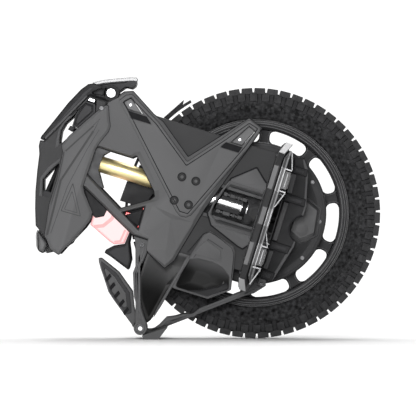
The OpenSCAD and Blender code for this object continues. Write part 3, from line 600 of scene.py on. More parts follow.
webs, ridges = [], []
for i in range(10):
    a = -7.8 + 18 + 36 * i
    for s in (-1, 1):
        webs.append(slab_mesh(polar(HALF + [(r, -d) for r, d in HALF[::-1]], a), [(10.0, 0.0), (17.2, 0.0), (18.4, 1.3)], (), 0.01, 1, s))
        for k in (-1, 1):
            ln = polar([(r, k * (d + 1.3)) for r, d in RIDGE], a)
            ridges.append(slab_mesh(stroke(ln, 2.0), [(18.0, 0.0), (19.6, 0.6)], (), 0.3, 1, s))
V, F = merge(*webs)
finish_obj("rim_spoke_webs", V, F, "rim", "wheel", slot="rim_black", bev=0.5, smooth=30, flat=True)
V, F = merge(*ridges)
finish_obj("rim_spoke_ridges", V, F, "lip", "wheel", slot="rim_black", bev=0, smooth=30)
refine("valve", "steel", 0.4)

# motor covers
HEX = [(-24, -100), (-4, -123.5), (42, -117), (52, -93), (42, -77), (-14, -76)]
for s, side in ((-1, "right"), (1, "left")):
    V, F = side_of(turn_mesh([(14.2, 42.2), (133.8, 42.2), (140.2, 42.4), (140.3, 47.8), (138.6, 49.2), (134.6, 49.4), (134.2, 48.9), (123.6, 48.9), (123.2, 49.5), (119.5, 49.8), (112.5, 52.0), (108.0, 52.2), (107.4, 51.7), (99.0, 52.1), (98.4, 52.7), (60.0, 53.5), (40.2, 53.6), (36.2, 54.9), (15.2, 54.9), (14.2, 54.0)], 220), s)
    finish_obj("motor_cover_" + side + "_casting", V, F, "hub", "wheel", reps=["motor_cover_" + side], slot="cover_black", bev=0, smooth=26)
    slab("motor_boss_" + side, HEX, [(50.5, -1.5), (53.2, 0), (54.4, 1.6)], "boss", "wheel", slot="cover_black", r=4, n=3, s=s, bev=0.4)
    for k, d in enumerate((7.0, 13.0)):
        o1 = offs(ccw(HEX), -d); o2 = offs(ccw(HEX), -(d - 3.4))
        o1 = [(x, z) for x, z in o1]; ok = [q for q in o1 if math.hypot(*q) < 134]
        if len(ok) == len(o1):
            slab("motor_groove_%d_%s" % (k, side), o1, [(50.0, 0, 0), (54.0 - k * 0.5, 0.4, 0.4)], "hub2", "wheel", slot="cover_black", holes=[{"p": o2, "r": 4, "n": 3}], r=5, n=3, s=s, bev=0.3)
    prof = [(0.0, 54.9)] + [(26 * math.sin(t), 51.0 + 3.9 * math.cos(t)) for t in [i * math.pi / 2 / 8 for i in range(1, 9)]]
    V, F = tube_mesh((-4, 0, -98), (0, s, 0), prof + [(26, 50.0), (0.0, 50.0)], 48)
    finish_obj("motor_dome_" + side, V, F, "boss", "wheel", slot="cover_black", bev=0, smooth=40)
refine("motor_cover_bolts", "lipd", 0.5)
refine("motor_hub", "hub", 0.8)
keep("motor_stator", "copper")
keep("hub_bearings", "steel")

# ---------------------------------------------------------------- carriage
# painted shade: the axle and its nuts take the dark bolt finish for the slot they sit hidden in
refine("axle", "boltd", 0.8)
refine("axle_nuts", "boltd", 0.7)
refine("slider_left", "dark", 1.0)
refine("slider_right", "dark", 1.0)
refine("slider_bolts", "dark", 0.6)
for side, s in (("left", 1), ("right", -1)):
    prof = [(13.0, 16.2), (14.0, 17.2), (14.0, 262.5), (14.0, 266.0), (13.0, 267.8)]
    V, F = tube_mesh((2, s * 75, 0), (0, 0, 1), [(0.0, 16.2)] + prof + [(0.0, 267.8)], 64)
    finish_obj("stanchion_%s_tube" % side, V, F, "chrome", "carriage", reps=["stanchion_" + side], slot="stanchion_chrome", bev=0, smooth=40)
refine("inner_fender", "dark", 1.2)
refine("fender_stays", "dark", 1.2)

# ---------------------------------------------------------------- battery boxes and the slot between them
refine("battery_box_left", "box", 1.6)
refine("battery_box_right", "box", 1.6)
keep("battery_packs", "pack")
refine("guide_rails", "alloy", 0.5)
keep("tube_clamps", "alloy")
PANEL = [(-74, 4), (-72, 14), (-48, 76), (-27, 90), (50.5, 65), (85, 24), (62, -2), (60, -44), (-60, -44), (-62, -6)]
SLOT = [(-40, -42.5), (-40, 68), (-28, 83), (-5, 81), (22, 72), (40, 64), (40, -42.5)]
for s, side in ((-1, "right"), (1, "left")):
    slab("slot_panel_" + side, PANEL, [(92, 0, 0), (94.2, 0, 0), (95, 1.2, 1.2)], "cover", "frame", reps=["box_panel_" + side], slot="cover_charcoal", holes=[{"p": SLOT, "r": 2}], r=3, n=3, s=s, bev=0.3)
    slab("slot_seam_" + side, offs(ccw(PANEL), -3.0), [(92.0, 0, 0), (92.9, 0, 0)], "black", "frame", slot="black_plastic", holes=[{"p": SLOT, "r": 2}], r=3, n=3, s=s, bev=0)
    # raised rib round the slot, as the seat of the slider cover
    slab("slot_rim_" + side, [(-47, -43.6), (-47, 71), (-31, 88.5), (-4, 86), (25, 77), (46, 68), (46, -43.6)], [(94.6, 0, 0), (96.6, 0.3, 0.3), (97.2, 1.3, 1.0)], "panel", "frame", slot="cover_charcoal", holes=[{"p": [(-41.5, -43), (-41.5, 68.5), (-28.6, 84.6), (-5, 82.6), (22.6, 73.4), (41.5, 65), (41.5, -43)], "r": 2}], r=3, n=3, s=s, bev=0.3)
    bars = []
    # the last two bars (x -14.1…-5.0 and 8.2…14.1) are black strips over the edges of the chrome tube: painted dark
    # reflection, leaving a bright band down its middle
    for x0, x1, z0, z1, ya, yb in ((-39.4, -33.4, -42, 66, 84.5, 88.5), (33.8, 39.4, -42, 62, 84.5, 88.5), (-27.6, -26.2, 21.5, 78, 85, 88.6), (-25.6, -24.5, 21.5, 78, 85, 88.6), (24.3, 25.3, 21.5, 71, 85, 88.6), (26.6, 27.8, 21.5, 70, 85, 88.6), (-14.1, -5.0, 31, 79, 91.4, 92.4), (8.2, 14.1, 31, 74, 91.4, 92.4)):
        bars.append(side_of(box_mesh(x0, x1, ya, yb, z0, z1, 0.4, 0.4), s))
    V, F = merge(*bars)
    finish_obj("slot_seals_and_shade_strips_" + side, V, F, "dark", "frame", slot="black_plastic", bev=0.3, smooth=30)
    cheeks = []
    for x0, x1, hs in ((-22.2, -14.2, (65, 45, 35)), (14.2, 22.2, (60, 45, 35))):
        z = 22.0
        for h in sorted(hs):
            cheeks.append(side_of(box_mesh(x0, x1, 87.6, 90.6, z, h - 2.4, 0.5, 0.5), s))
            cheeks.append(side_of(box_mesh(x0 + 1.6, x1 - 1.6, 87.6, 89.4, h - 2.6, h + 2.6, 0.2, 0.2), s))
            z = h + 2.4
        cheeks.append(side_of(box_mesh(x0, x1, 87.6, 90.6, z, 77 if x0 < 0 else 71, 0.5, 0.5), s))
    V, F = merge(*cheeks)
    finish_obj("slot_guides_" + side, V, F, "alloy", "frame", slot="slider_alloy", bev=0.4, smooth=30)

# gold tubes with their collars
for s, side in ((-1, "right"), (1, "left")):
    prof = [(14.06, 188.2), (15.2, 188.0), (16.0, 189.0), (16.0, 196.0), (15.5, 196.6), (15.5, 198.2), (16.0, 198.8), (16.0, 336.0), (15.4, 336.8), (15.4, 343.6), (14.06, 344.2)]
    V, F = tube_mesh((2, s * 75, 0), (0, 0, 1), prof + [prof[0]], 72)
    finish_obj("gold_tube_%s_sleeve" % side, V, F, "gold", "frame", reps=["gold_tube_" + side], slot="gold_tube", bev=0, smooth=40)
    for k, z in enumerate((190.5,)):
        V, F = tube_mesh((2, s * 75, z), (0, 0, 1), [(15.9, 0), (17.3, 0.6), (17.3, 5.4), (15.9, 6.0), (15.9, 0)], 64)
        finish_obj("gold_collar_%d_%s" % (k, side), V, F, "black", "frame", slot="black_plastic", bev=0, smooth=40)

# ---------------------------------------------------------------- side frames
UPI = [(131.8, 315), (146, 302), (121, 270), (121, 302)]
LOI = [(119, 88), (160.5, 62.5), (154.5, 47.5), (119, 64.5)]
UPH, LOH = (131.2, 298.8), (129.1, 72.4)
VOP = [(-76.5, 252.3), (-51.8, 212.3), (-100.2, 211.3)]
XF = [(-51.3, 345), (-51.3, 338.9), (-112.1, 220), (-114, 184.3), (-136.8, 180.9), (-156.6, 139.6), (-136.8, 126.3), (-115.6, 121.4), (-20, 98), (50, 75), (116, 52),
      (163.7, 37.3), (175.1, 67), (120, 114), (66, 160), (118, 228), (127, 250), (158, 302), (152, 318), (139, 329), (124, 345), (33, 345), (33, 266), (40, 258),
      (-17.7, 203.9), (-27.6, 199.4), (-36.5, 205.4), (-71, 258.3), (-26, 338.9), (-22, 345)]
ARM = [(133, 322), (-43, 150), (-48.8, 141), (-48, 129), (-41.4, 121.4), (119, 52), (156, 40), (163, 41), (172, 64), (168, 70), (119, 107), (56, 159), (114, 236), (151, 302), (147, 312)]
BOLTS = [(-23.3, 161), (25.3, 160), (-23.6, 131.2), (25.3, 131.2)]


def disc(c, r, n=24):
    return [(c[0] + r * math.cos(2 * math.pi * i / n), c[1] + r * math.sin(2 * math.pi * i / n)) for i in range(n)]


for s, side in ((-1, "right"), (1, "left")):
    bev = edge_list(XF, 3, {1: 4, 4: 5, 5: 5, 6: 6, 7: 7, 8: 7, 9: 7, 12: 6, 13: 9, 14: 9, 15: 6, 16: 5, 22: 5, 23: 9, 24: 9, 25: 9, 26: 5, 27: 4})
    slab("frame_cover_%s_shell" % side, XF, [(92, 0, 0), (97, 0, 0), (104, bev, 1.8)], "cover", "frame", reps=["frame_cover_" + side], slot="cover_charcoal",
         holes=[{"p": VOP, "r": 2}, {"p": UPI, "k": 0, "r": 1}, {"p": LOI, "k": 0, "r": 1}], r=2.5, n=3, s=s, bev=0.6)
    slab("frame_outline_" + side, offs(ccw(XF), -1.5), [(92.3, 0, 0), (94.0, 0, 0)], "black", "frame", slot="black_plastic", r=2, n=2, s=s, bev=0, holes=[{"p": offs(ccw(VOP), 1.6), "r": 1.5}, {"p": UPI, "r": 1}, {"p": LOI, "r": 1}])
    loop = [(-44, 202), (-104.5, 204.5), (-111, 188), (-133.5, 184.2), (-151.5, 141.0), (-136, 131), (-115, 126.5), (-54, 111.5), (-52, 140)]
    V = [(x, s * 103.6, z) for x, z in loop] + [(-60, s * 108.6, 157), (-123, s * 107.6, 147.5)] + [(x, s * 101.5, z) for x, z in loop]
    A, B = 9, 10
    F = [(A, 0, 1), (A, 1, 2), (A, 2, B), (B, 2, 3), (B, 3, 4), (B, 4, 5), (B, 5, 6), (B, 6, A), (A, 6, 7), (A, 7, 8), (A, 8, 0)]
    F += [(i, (i + 1) % 9, 11 + (i + 1) % 9, 11 + i) for i in range(9)] + [tuple(range(11, 20))]
    finish_obj("frame_hub_facets_" + side, V, F, "plate", "frame", slot="plate_charcoal", bev=0.5, smooth=1.5)
    slab("armour_seam_" + side, [(133.8, 323.2), (-44, 150.6), (-50, 141.2), (-49.2, 128.6), (-42, 120.3), (119, 50.8), (156, 38.8), (163.8, 40), (173.2, 64), (168.8, 71), (120.5, 107.4), (57.6, 159.2), (115.2, 235.6), (152.4, 302), (148, 313)], [(103.4, 0), (104.6, 0)], "black", "frame", slot="black_plastic", r=2.5, n=3, s=s, bev=0, holes=[{"p": UPI, "r": 1}, {"p": LOI, "r": 1}])
    slab("armour_plate_%s_shell" % side, ARM, [(104, -0.4, 0), (105.2, -0.4, 0), (106.9, 2.2, 1.4)], "plate", "frame", reps=["armour_plate_" + side], slot="plate_charcoal",
         holes=[{"p": UPI, "r": 1}, {"p": LOI, "r": 1}, {"p": [(106.5, 248), (118.5, 262), (118.5, 300), (106.5, 290)], "r": 1.5}, {"p": [(104, 105), (116.5, 97), (116.5, 63), (104, 67.5)], "r": 1.5}], r=2.5, n=3, s=s, bev=0.35)
    arms = ccw([(133, 321), (-46, 146.5), (-46, 124.5), (119, 53), (164, 38.5), (171.5, 66), (119, 107), (56, 159), (114, 236), (150.5, 303)])
    slab("armour_line_" + side, offs(arms, 4.2), [(106.4, 0, 0), (107.15, 0, 0)], "black", "frame", slot="black_plastic", holes=[{"p": offs(arms, 5.9), "r": 3, "n": 3}], r=3, n=3, s=s, bev=0)
    for nm, ins, hc in (("upper", UPI, UPH), ("lower", LOI, LOH)):
        slab("corner_%s_%s" % (nm, side), offs(ccw(ins), 1.0), [(92.2, 0, 0), (104.6, 0, 0), (105.8, 1.3, 0.7)], "insert", "frame", slot="plate_charcoal", holes=[{"p": disc(hc, 2.75), "r": 0.01, "n": 1}], r=1.6, n=3, s=s, bev=0.25)
        V, F = side_of(tube_mesh((hc[0], 105.0, hc[1]), (0, 1, 0), [(2.8, 0.2), (2.9, 1.0), (4.6, 1.0), (5.2, 0.4), (5.2, -0.6), (2.8, -0.6), (2.8, 0.2)], 32), s)
        finish_obj("corner_ring_%s_%s" % (nm, side), V, F, "bolt", "frame", slot="bright_steel", bev=0, smooth=40)
        # pin centre in the near-white finish: painted highlight
        V, F = side_of(closed_tube((hc[0], 105.0, hc[1]), (0, 1, 0), [(2.5, -0.6), (2.5, 0.7), (0.01, 0.8)], 20), s)
        finish_obj("corner_pin_%s_%s" % (nm, side), V, F, "pin_highlight", "frame", slot="bright_steel", bev=0, smooth=40)
    for k, q in enumerate(BOLTS):
        V, F = tube_mesh((q[0], 0, q[1]), (0, 1, 0), [(0.0, 103.0), (6.6, 106.4), (6.6, 108.0), (5.6, 109.0), (3.6, 109.0), (3.3, 108.6), (3.0, 106.6), (0.0, 106.2)], 36)
        V, F = side_of((V, F), s)
        finish_obj("panel_bolt_%s_%d" % (side, k), V, F, "boltd", "frame", reps=["panel_bolts"] if (k == 0 and s < 0) else [], slot="bright_steel", bev=0, smooth=35)
        V, F = side_of(tube_mesh((q[0], 0, q[1]), (0, 1, 0), [(6.7, 106.7), (8.6, 106.7), (9.0, 107.1), (9.0, 107.5), (7.4, 107.5), (6.7, 107.1), (6.7, 106.7)], 36), s)
        finish_obj("panel_washer_%s_%d" % (side, k), V, F, "dark", "frame", slot="black_plastic", bev=0, smooth=35)
for side in ("left", "right"):
    NODES["corner_inserts_" + side].hide_render = False
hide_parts("corner_inserts_left")
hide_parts("corner_inserts_right")

# ---------------------------------------------------------------- lower bumper, fairing and scoop
BUMP = [(-120, -47), (-61, -51), (-40, -54), (38, -55), (57, -55), (98, -48), (128, -40), (133, -60), (112, -75), (42, -92.5), (21.5, -92.5), (20, -88), (14, -80), (4, -74.5), (-4, -73), (-12, -74.5), (-22, -80), (-28, -88), (-29, -92.5), (-42, -92.5), (-100, -77), (-120, -71)]
for s, side in ((-1, "right"), (1, "left")):
    slab("lower_bumper_%s_skin" % side, BUMP, [(92, 0), (98, 0), (100.8, 2.6)], "dark", "frame", reps=["lower_bumper_" + side], slot="black_plastic", r=1.5, n=2, s=s, bev=0.5)
    # pale ledge faces along the top edge and a chamfer strip along the bottom
    for k, p in enumerate(([(-99, -46.6), (-61.5, -48), (-61.5, -56.5), (-99, -55)], [(-40.5, -47), (38, -47), (38, -57), (-40.5, -56.5)], [(57.5, -47), (96, -45.5), (96, -55), (57.5, -57)])):
        slab("bumper_ledge_%d_%s" % (k, side), p, [(99.5, 0), (102.2, 0.2), (103.2, 1.4)], "ledge", "frame", slot="body_charcoal", r=1.2, n=2, s=s, bev=0.3)
    slab("bumper_strip_rear_" + side, [(-119, -66), (-61, -80), (-43, -88), (-31, -88.5), (-30, -92), (-42, -92), (-62, -86.5), (-100, -76.5), (-119.5, -71)], [(99.8, 0), (101.6, 0.2), (102.4, 1.2)], "ledge", "frame", slot="body_charcoal", r=1.2, n=2, s=s, bev=0.3)
    slab("bumper_strip_front_" + side, [(22.5, -88.2), (42, -88), (57, -83), (100, -73), (128, -58), (131, -60), (112, -74.6), (57, -88), (42, -92), (22.5, -92)], [(99.8, 0), (101.6, 0.2), (102.4, 1.2)], "ledge", "frame", slot="body_charcoal", r=1.2, n=2, s=s, bev=0.3)
    for k, (x0, x1, zb) in enumerate(((-120, -101, -73), (-60, -42, -87), (39, 56, -88), (97, 113, -75))):
        slab("bumper_rib_%d_%s" % (k, side), [(x0, -44.4), (x1, -44.4), (x1, zb), (x0, zb + (4 if x0 < 0 else -3) * 0.5)], [(96, 0), (102.2, 0.2), (104, 2.2)], "dark", "frame", slot="black_plastic", r=1.5, n=2, s=s, bev=0.3)
        slab("bumper_rib_groove_%d_%s" % (k, side), [(x0 + 5, -50), (x1 - 5, -50), (x1 - 5, zb + 8), (x0 + 5, zb + 8)], [(103.2, 0), (104.4, 0.2), (104.9, 1.0)], "shell", "frame", slot="shell_dark", r=1.2, n=2, s=s, bev=0.2)

FAIR = [(-190, 116), (-118, 98), (-72, 86), (-60, 76), (-76, 22), (-86, 15), (-115, 9), (-150, 3), (-160, 1), (-190, 40)]
CHEV = [(-120, 95), (-75, 78), (-87, 38), (-113, 33)]
BOWL_RIM = [(-187, 110), (-126, 100), (-119, 82), (-117, 52), (-122, 30), (-134, 12), (-160, 4.5), (-187, 42)]


def late_fairing():
    for s, side in ((-1, "right"), (1, "left")):
        slab("side_fairing_%s_skin" % side, FAIR, [(92, 0, 0), (95.6, 0, 0), (98, 2.6, 1.5)], "cover", "frame", reps=["side_fairing_" + side], slot="body_charcoal", r=5, n=4, s=s, bev=0.5, holes=[{"p": offs(ccw(BOWL_RIM), 1.2), "r": 6, "n": 4}])
        # the bowl takes the painted-shade skin, which darkens towards its hollow
        bowl("fairing_bowl_painted_shade_" + side, offs(ccw(BOWL_RIM), -0.6), BOWL_RIM, (-156, 66), 96.6, 13, 83.5, "bowl", s, slot="black_plastic", power=2.2, floor=0.22)
        slab("fairing_line_" + side, stroke([(-114, 105.5), (-70, 86.5), (-62.5, 76.5), (-65, 62), (-80, 24.5), (-90, 17), (-138, 7.5)], 1.1), [(97.6, 0), (98.3, 0.1)], "black", "frame", slot="black_plastic", r=0.5, n=2, s=s, bev=0)
        slab("fairing_chevron_" + side, stroke([(-120, 91), (-88, 77.5), (-77.5, 78), (-86.5, 39), (-124, 46)][:2] + [(-77, 74), (-87, 40)], 2.0), [(97.4, 0), (98.5, 0.3)], "shell", "frame", slot="shell_dark", r=0.6, n=2, s=s, bev=0)
        slab("fairing_panel_" + side, [(-113, 94), (-88, 83), (-79.5, 75.5), (-90.5, 43.5), (-112.5, 36)], [(97.4, 0), (98.6, 0.3), (99.4, 1.4)], "plate", "frame", slot="body_charcoal", r=3, n=3, s=s, bev=0.3)


# rear scoop: a bowl pressed into the outer face, lofted from the rim down to the floor of the bowl
SCO = [(-271, 141), (-262, 134), (-220, 127), (-190, 120), (-190, 40), (-158, 4), (-118, 12), (-118, 180), (-152, 181.5), (-190, 181.5), (-230, 168)]


def ring_resample(poly, n):
    pts = [Vector(p) for p in poly]
    L = [0.0]
    for i in range(len(pts)):
        L.append(L[-1] + (pts[(i + 1) % len(pts)] - pts[i]).length)
    out = []
    for k in range(n):
        t = L[-1] * k / n
        i = max(j for j in range(len(pts)) if L[j] <= t + 1e-9)
        u = (t - L[i]) / max(1e-9, L[i + 1] - L[i])
        out.append(pts[i].lerp(pts[(i + 1) % len(pts)], u))
    return out


def bowl(name, outer, rim, centre, y_out, depth, y_in, mat, s, slot=None, reps=(), steps=9, power=1.7, n=72, floor=0.25, rise=0.0):
    """Solid with the outline outer whose outer face holds a bowl inside the outline rim."""
    a = ring_resample(ccw(outer), n)
    b = ring_resample(ccw(rim), n)
    # line the two rings up by their start direction
    c = Vector(centre)
    best = min(range(n), key=lambda k: sum((a[i] - b[(i + k) % n]).length for i in range(0, n, 4)))
    b = b[best:] + b[:best]
    V, F, rings = [], [], []

    def add(ring, y):
        k = len(V)
        for q in ring:
            V.append((q.x, s * y, q.y))
        rings.append(k)
    add(a, y_in)
    add(a, y_out - 1.6)
    add([q.lerp(c, 0.012) for q in a], y_out - 0.4)
    add([p.lerp(q, 0.15) for p, q in zip(a, b)], y_out)
    add([p.lerp(q, 0.85) for p, q in zip(a, b)], y_out + rise)
    add(b, y_out - 0.5 + rise)
    for k in range(1, steps + 1):
        t = k / steps
        f = 1 - (1 - floor) * t
        add([c + (q - c) * f for q in b], y_out - 0.5 - depth * (1 - (1 - t) ** power))
    for p, q in zip(rings, rings[1:]):
        for i in range(n):
            j = (i + 1) % n
            F.append((p + i, p + j, q + j, q + i))
    k = len(V); V.append((c.x, s * (y_out - 0.5 - depth), c.y))
    for i in range(n):
        F.append((rings[-1] + i, rings[-1] + (i + 1) % n, k))
    t = tessellate_polygon([[Vector((q.x, q.y, 0)) for q in a]])
    for tri in t:
        F.append(tuple(rings[0] + m for m in tri))
    return finish_obj(name, V, F, mat, "frame", reps, slot, bev=0, smooth=38)


late_fairing()
for s, side in ((-1, "right"), (1, "left")):
    # the scoop's bowl takes the painted-shade skin, which darkens rearward into its hollow
    bowl("rear_scoop_%s_bowl" % side, SCO, [(-258, 141), (-225, 134), (-185, 127), (-184, 60), (-160, 18), (-124, 24), (-124, 174), (-150, 176.5), (-190, 176), (-228, 163)], (-156, 112), 90.5, 24, 58, "scoop", s, slot="black_plastic", reps=["rear_scoop_" + side])
    slab("scoop_lip_" + side, [(-240, 131.5), (-150, 111), (-118, 103), (-118, 97), (-152, 104), (-190, 114), (-232, 124), (-262, 132.5)], [(88, 0), (95, 0.3), (97, 2.0)], "cover", "frame", slot="body_charcoal", r=2, n=3, s=s, bev=0.4)
    # arch that rolls over the wheel opening behind the fairing
    slab("scoop_arch_" + side, [(-190, 100), (-187, 88), (-178, 60), (-160, 28), (-146, 12), (-158, 3), (-190, 40)], [(60, 0), (93, 0), (95.5, 3)], "dark", "frame", slot="black_plastic", r=3, n=3, s=s, bev=0.5)

# ---------------------------------------------------------------- rear arms, legs, foot
ARMS = [(-278.7, 162.4), (-255.5, 169.3), (-124, 210.3), (-118, 214.3), (-114.6, 216), (-114.6, 185), (-140.3, 182.2), (-183.3, 186.6), (-229.2, 170.8), (-255.5, 154.5), (-272.3, 141.1), (-290, 145)]
for s, side in ((-1, "right"), (1, "left")):
    slab("rear_arm_" + side, ARMS, [(92, 0), (98, 0), (100, 2.2)], "cover", "frame", reps=["rear_arms"] if s < 0 else [], slot="body_charcoal", r=3, n=3, s=s, bev=0.5)
    slab("rear_arm_rib_" + side, [(-270, 160), (-255, 164), (-124, 204.5), (-119, 207), (-119, 190), (-140, 187.4), (-184, 191.5), (-231, 175.5), (-257, 159.5), (-268, 151)], [(99.4, 0, 0), (100.9, 0.2, 0.2), (101.4, 1.0, 0.8)], "cover", "frame", slot="body_charcoal",
         holes=[{"p": [(-254, 160.5), (-132, 198.8), (-127, 198), (-133, 192.6), (-184, 196), (-229, 180), (-252, 164)], "r": 1.5}], r=2, n=3, s=s, bev=0.25)
    V, F = side_of(tube_mesh((-285.3, 0, 150.2), (0, 1, 0), [(9.1, 92.1), (13, 92.1), (13, 99.8), (12, 101), (9.9, 101), (9.1, 100.2), (9.1, 92.1)], 48), s)
    finish_obj("rear_eye_" + side, V, F, "cover", "frame", slot="body_charcoal", bev=0, smooth=35)
    V, F = side_of(closed_tube((-127.1, 0, 195.5), (0, 1, 0), [(4.6, 99), (4.6, 102.0), (4.0, 102.6), (2.4, 102.6), (2.0, 101.2), (0.01, 101.2)], 28), s)
    finish_obj("rear_arm_bolt_" + side, V, F, "bolt", "frame", slot="bright_steel", bev=0, smooth=35)
LEG = [(-297, 143), (-269, 103), (-264, 98), (-233, 58.6), (-219, 42), (-163, -28), (-153, -44.2), (-131.4, -63), (-122, -58), (-120, -44), (-122, -34), (-158, -20.5), (-160, -16), (-213, 50), (-228, 60), (-233, 77), (-243, 92), (-250, 107.5), (-270, 117.4), (-280, 124.8), (-284, 136), (-276, 152)]
for s, side in ((-1, "right"), (1, "left")):
    slab("stand_leg_" + side, LEG, [(62, 1.2), (63.2, 0), (69.4, 0), (71, 1.6)], "cover", "frame", reps=["stand_legs"] if s < 0 else [], slot="body_charcoal", r=3, n=3, s=s, bev=0.4)
    slab("stand_leg_rib_" + side, [(-271, 112), (-262, 103.5), (-230, 62), (-216, 46.5), (-161, -23), (-150, -40), (-131, -56.5), (-126, -50), (-128, -40), (-160, -25.5), (-165, -18), (-215, 45), (-231, 56), (-240, 74), (-249, 88), (-256, 104)], [(70.4, 0), (72.0, 0.2), (72.8, 1.0)], "ledge", "frame", slot="body_charcoal", r=2, n=2, s=s, bev=0.3)
    V, F = side_of(tube_mesh((-285.3, 0, 150.2), (0, 1, 0), [(9.1, 60), (12.5, 60), (12.5, 72), (9.1, 72), (9.1, 60)], 40), s)
    finish_obj("stand_boss_" + side, V, F, "cover", "frame", slot="body_charcoal", bev=0, smooth=35)
    V, F = side_of(box_mesh(-134, -120.3, 70.6, 99.8, -60, -45, 0.3, 0.3), s)
    finish_obj("stand_bridge_" + side, V, F, "cover", "frame", slot="body_charcoal", bev=1.2, smooth=30)
    V, F = side_of(closed_tube((-131.4, 0, -53.1), (0, 1, 0), [(4.2, 99), (4.2, 102.2), (3.6, 102.9), (2.2, 102.9), (1.8, 101.6), (0.01, 101.6)], 28), s)
    finish_obj("stand_bolt_" + side, V, F, "bolt", "frame", slot="bright_steel", bev=0, smooth=35)
    V, F = side_of(box_mesh(-120.4, -118.2, 62.2, 91.8, -69, -46.2), s)
    finish_obj("stand_tab_" + side, V, F, "cover", "frame", slot="body_charcoal", bev=0.5, smooth=30)
refine("rear_foot", "foot", 1.6)
refine("rear_pin", "bolt", 0.6)
for s, side in ((-1, "right"), (1, "left")):
    # pin core in the near-white finish: painted highlight
    V, F = side_of(closed_tube((-285.3, 0, 150.2), (0, 1, 0), [(4.4, 96), (4.4, 101.6), (3.6, 102.2), (0.01, 102.2)], 28), s)
    finish_obj("rear_pin_core_" + side, V, F, "pin_highlight", "frame", slot="bright_steel", bev=0, smooth=35)

# ---------------------------------------------------------------- tail lamps and fins
FIN = [(-163.5, 262.7), (-156.6, 261.7), (-145.2, 250.4), (-134.8, 229.6), (-106.5, 227), (-107.2, 222.6), (-129.9, 220.2), (-161.1, 206.4), (-182.8, 205.9), (-167.5, 247.9)]
LAMP = [(-118.5, 305.2), (-94.8, 305.2), (-84.9, 290), (-73, 288), (-73, 262), (-105, 228.2), (-134.4, 230.6), (-141.8, 248.9), (-139.3, 258.8)]
for s, side in ((-1, "right"), (1, "left")):
    slab("tail_fin_" + side, FIN, [(46.5, 1.5), (48, 0.3), (88, 0.3), (91.8, 2.6)], "dark", "frame", reps=["tail_fins"] if s < 0 else [], slot="black_plastic", r=2, n=3, s=s, bev=0.5)
    slab("tail_fin_rib_" + side, [(-160, 256), (-149, 246), (-139, 226.5), (-112, 225.6), (-130, 223.5), (-162, 210.5), (-176, 210), (-165, 243)], [(91.0, 0), (92.4, 0.3), (93.0, 1.0)], "shell", "frame", slot="shell_dark", r=2, n=2, s=s, bev=0.2)
    slab("tail_lamp_" + side, LAMP, [(46.4, 1.2), (48, 0.2), (86.5, 0.2), (91.2, 4.0)], "red_lens", "frame", reps=["tail_lights"] if s < 0 else [], slot="tail_lens", r=1.5, n=2, s=s, bev=0.3)
    facets = [slab_mesh(stroke(q, w), [(90.6, 0), (91.5, 0.1)], (), 1.0, 3, s) for q, w in (([(-120, 297), (-113, 280), (-95, 268), (-80, 266)], 7.0), ([(-137, 250), (-132, 239), (-108, 236)], 4.5), ([(-121, 297), (-137, 262)], 1.0))]
    V, F = merge(*facets)
    finish_obj("tail_lamp_facets_" + side, V, F, "lens_line", "frame", slot="tail_lens", bev=0, smooth=30)
    slab("tail_lamp_rim_light_" + side, stroke([(-75.5, 285), (-76, 263), (-106.5, 231)], 3.4), [(90.8, 0), (92.4, 0.4)], "red_glow", "frame", slot="tail_lens", r=0.6, n=2, s=s, bev=0)
    edge = offs(ccw(LAMP), 2.4)
    slab("tail_lamp_edge_" + side, offs(ccw(LAMP), -0.1), [(88.5, 0, 0), (91.6, 0.3, 0.3)], "lens_edge", "frame", slot="tail_lens", holes=[{"p": offs(ccw(LAMP), 2.0), "r": 1}], r=1, n=2, s=s, bev=0.2)
    slab("tail_strip_" + side, [(-76.5, 251), (-52.8, 213), (-58, 208), (-97, 208), (-99, 212)], [(66.5, 0.5), (89, 0.3), (91.5, 2.0)], "black", "frame", slot="tail_lens", r=1.2, n=2, s=s, bev=0.3)
    slab("tail_strip_frame_" + side, [(-82, 248), (-58, 214.5), (-94, 213)], [(91.2, 0), (93.2, 0.3), (94, 1.4)], "dark", "frame", slot="black_plastic", r=1.5, n=2, s=s, bev=0.3)
    slab("lamp_bracket_" + side, [(-56, 338), (-84, 319), (-99, 308), (-103, 299), (-95, 284), (-74, 281), (-66, 296), (-52, 326)], [(80, 0), (92, 0.2), (94, 1.8)], "dark", "frame", slot="black_plastic", r=1.5, n=2, s=s, bev=0.3)
    reds = []
    for x, z, w, h in ((-76.5, 240, 7, 10), (-72, 246, 3, 5), (-57, 213.6, 5, 3.4), (-95, 213.4, 7, 2.6), (-83, 233, 2.6, 6)):
        reds.append(side_of(box_mesh(x - w / 2, x + w / 2, 90.4, 92.4, z - h / 2, z + h / 2, 0.5, 0.5), s))
    V, F = merge(*reds)
    finish_obj("lamp_chips_" + side, V, F, "red_glow", "frame", slot="tail_lens", bev=0.2, smooth=30)

# ---------------------------------------------------------------- top shell and covers
FGAP = [(13.9, 409.5), (36, 396.7), (56, 384.9), (80.7, 370), (97, 360), (122, 366), (123, 382), (100, 393), (80, 399.5), (58.9, 412), (42.6, 415.5), (24.3, 413)]
RGAP = [(-92, 398), (-92, 412), (-59.7, 421), (-38, 411), (-16, 398)]
TOPO = [(-172, 378.5), (-152, 408), (-120, 419), (-87, 428.5), (-50, 436.5), (-14, 443), (0, 448.5), (12, 449.5), (13.2, 441), (122.5, 382), (124.3, 378), (124.3, 345), (-186, 345), (-191, 358), (-199.6, 373), (-186, 371), (-176, 372.5)]
V, F = slab_mesh(TOPO, [(-104, 3.0), (-100.5, 0), (0, 0), (100.5, 0), (104, 3.0)], [{"p": FGAP, "r": 2, "k": 1}, {"p": RGAP, "r": 3, "k": 1}], 2.5, 3, 1)
finish_obj("top_shell_body", V, F, "shell2", "frame", reps=["top_shell"], slot="shell_dark", bev=0.6, smooth=34)
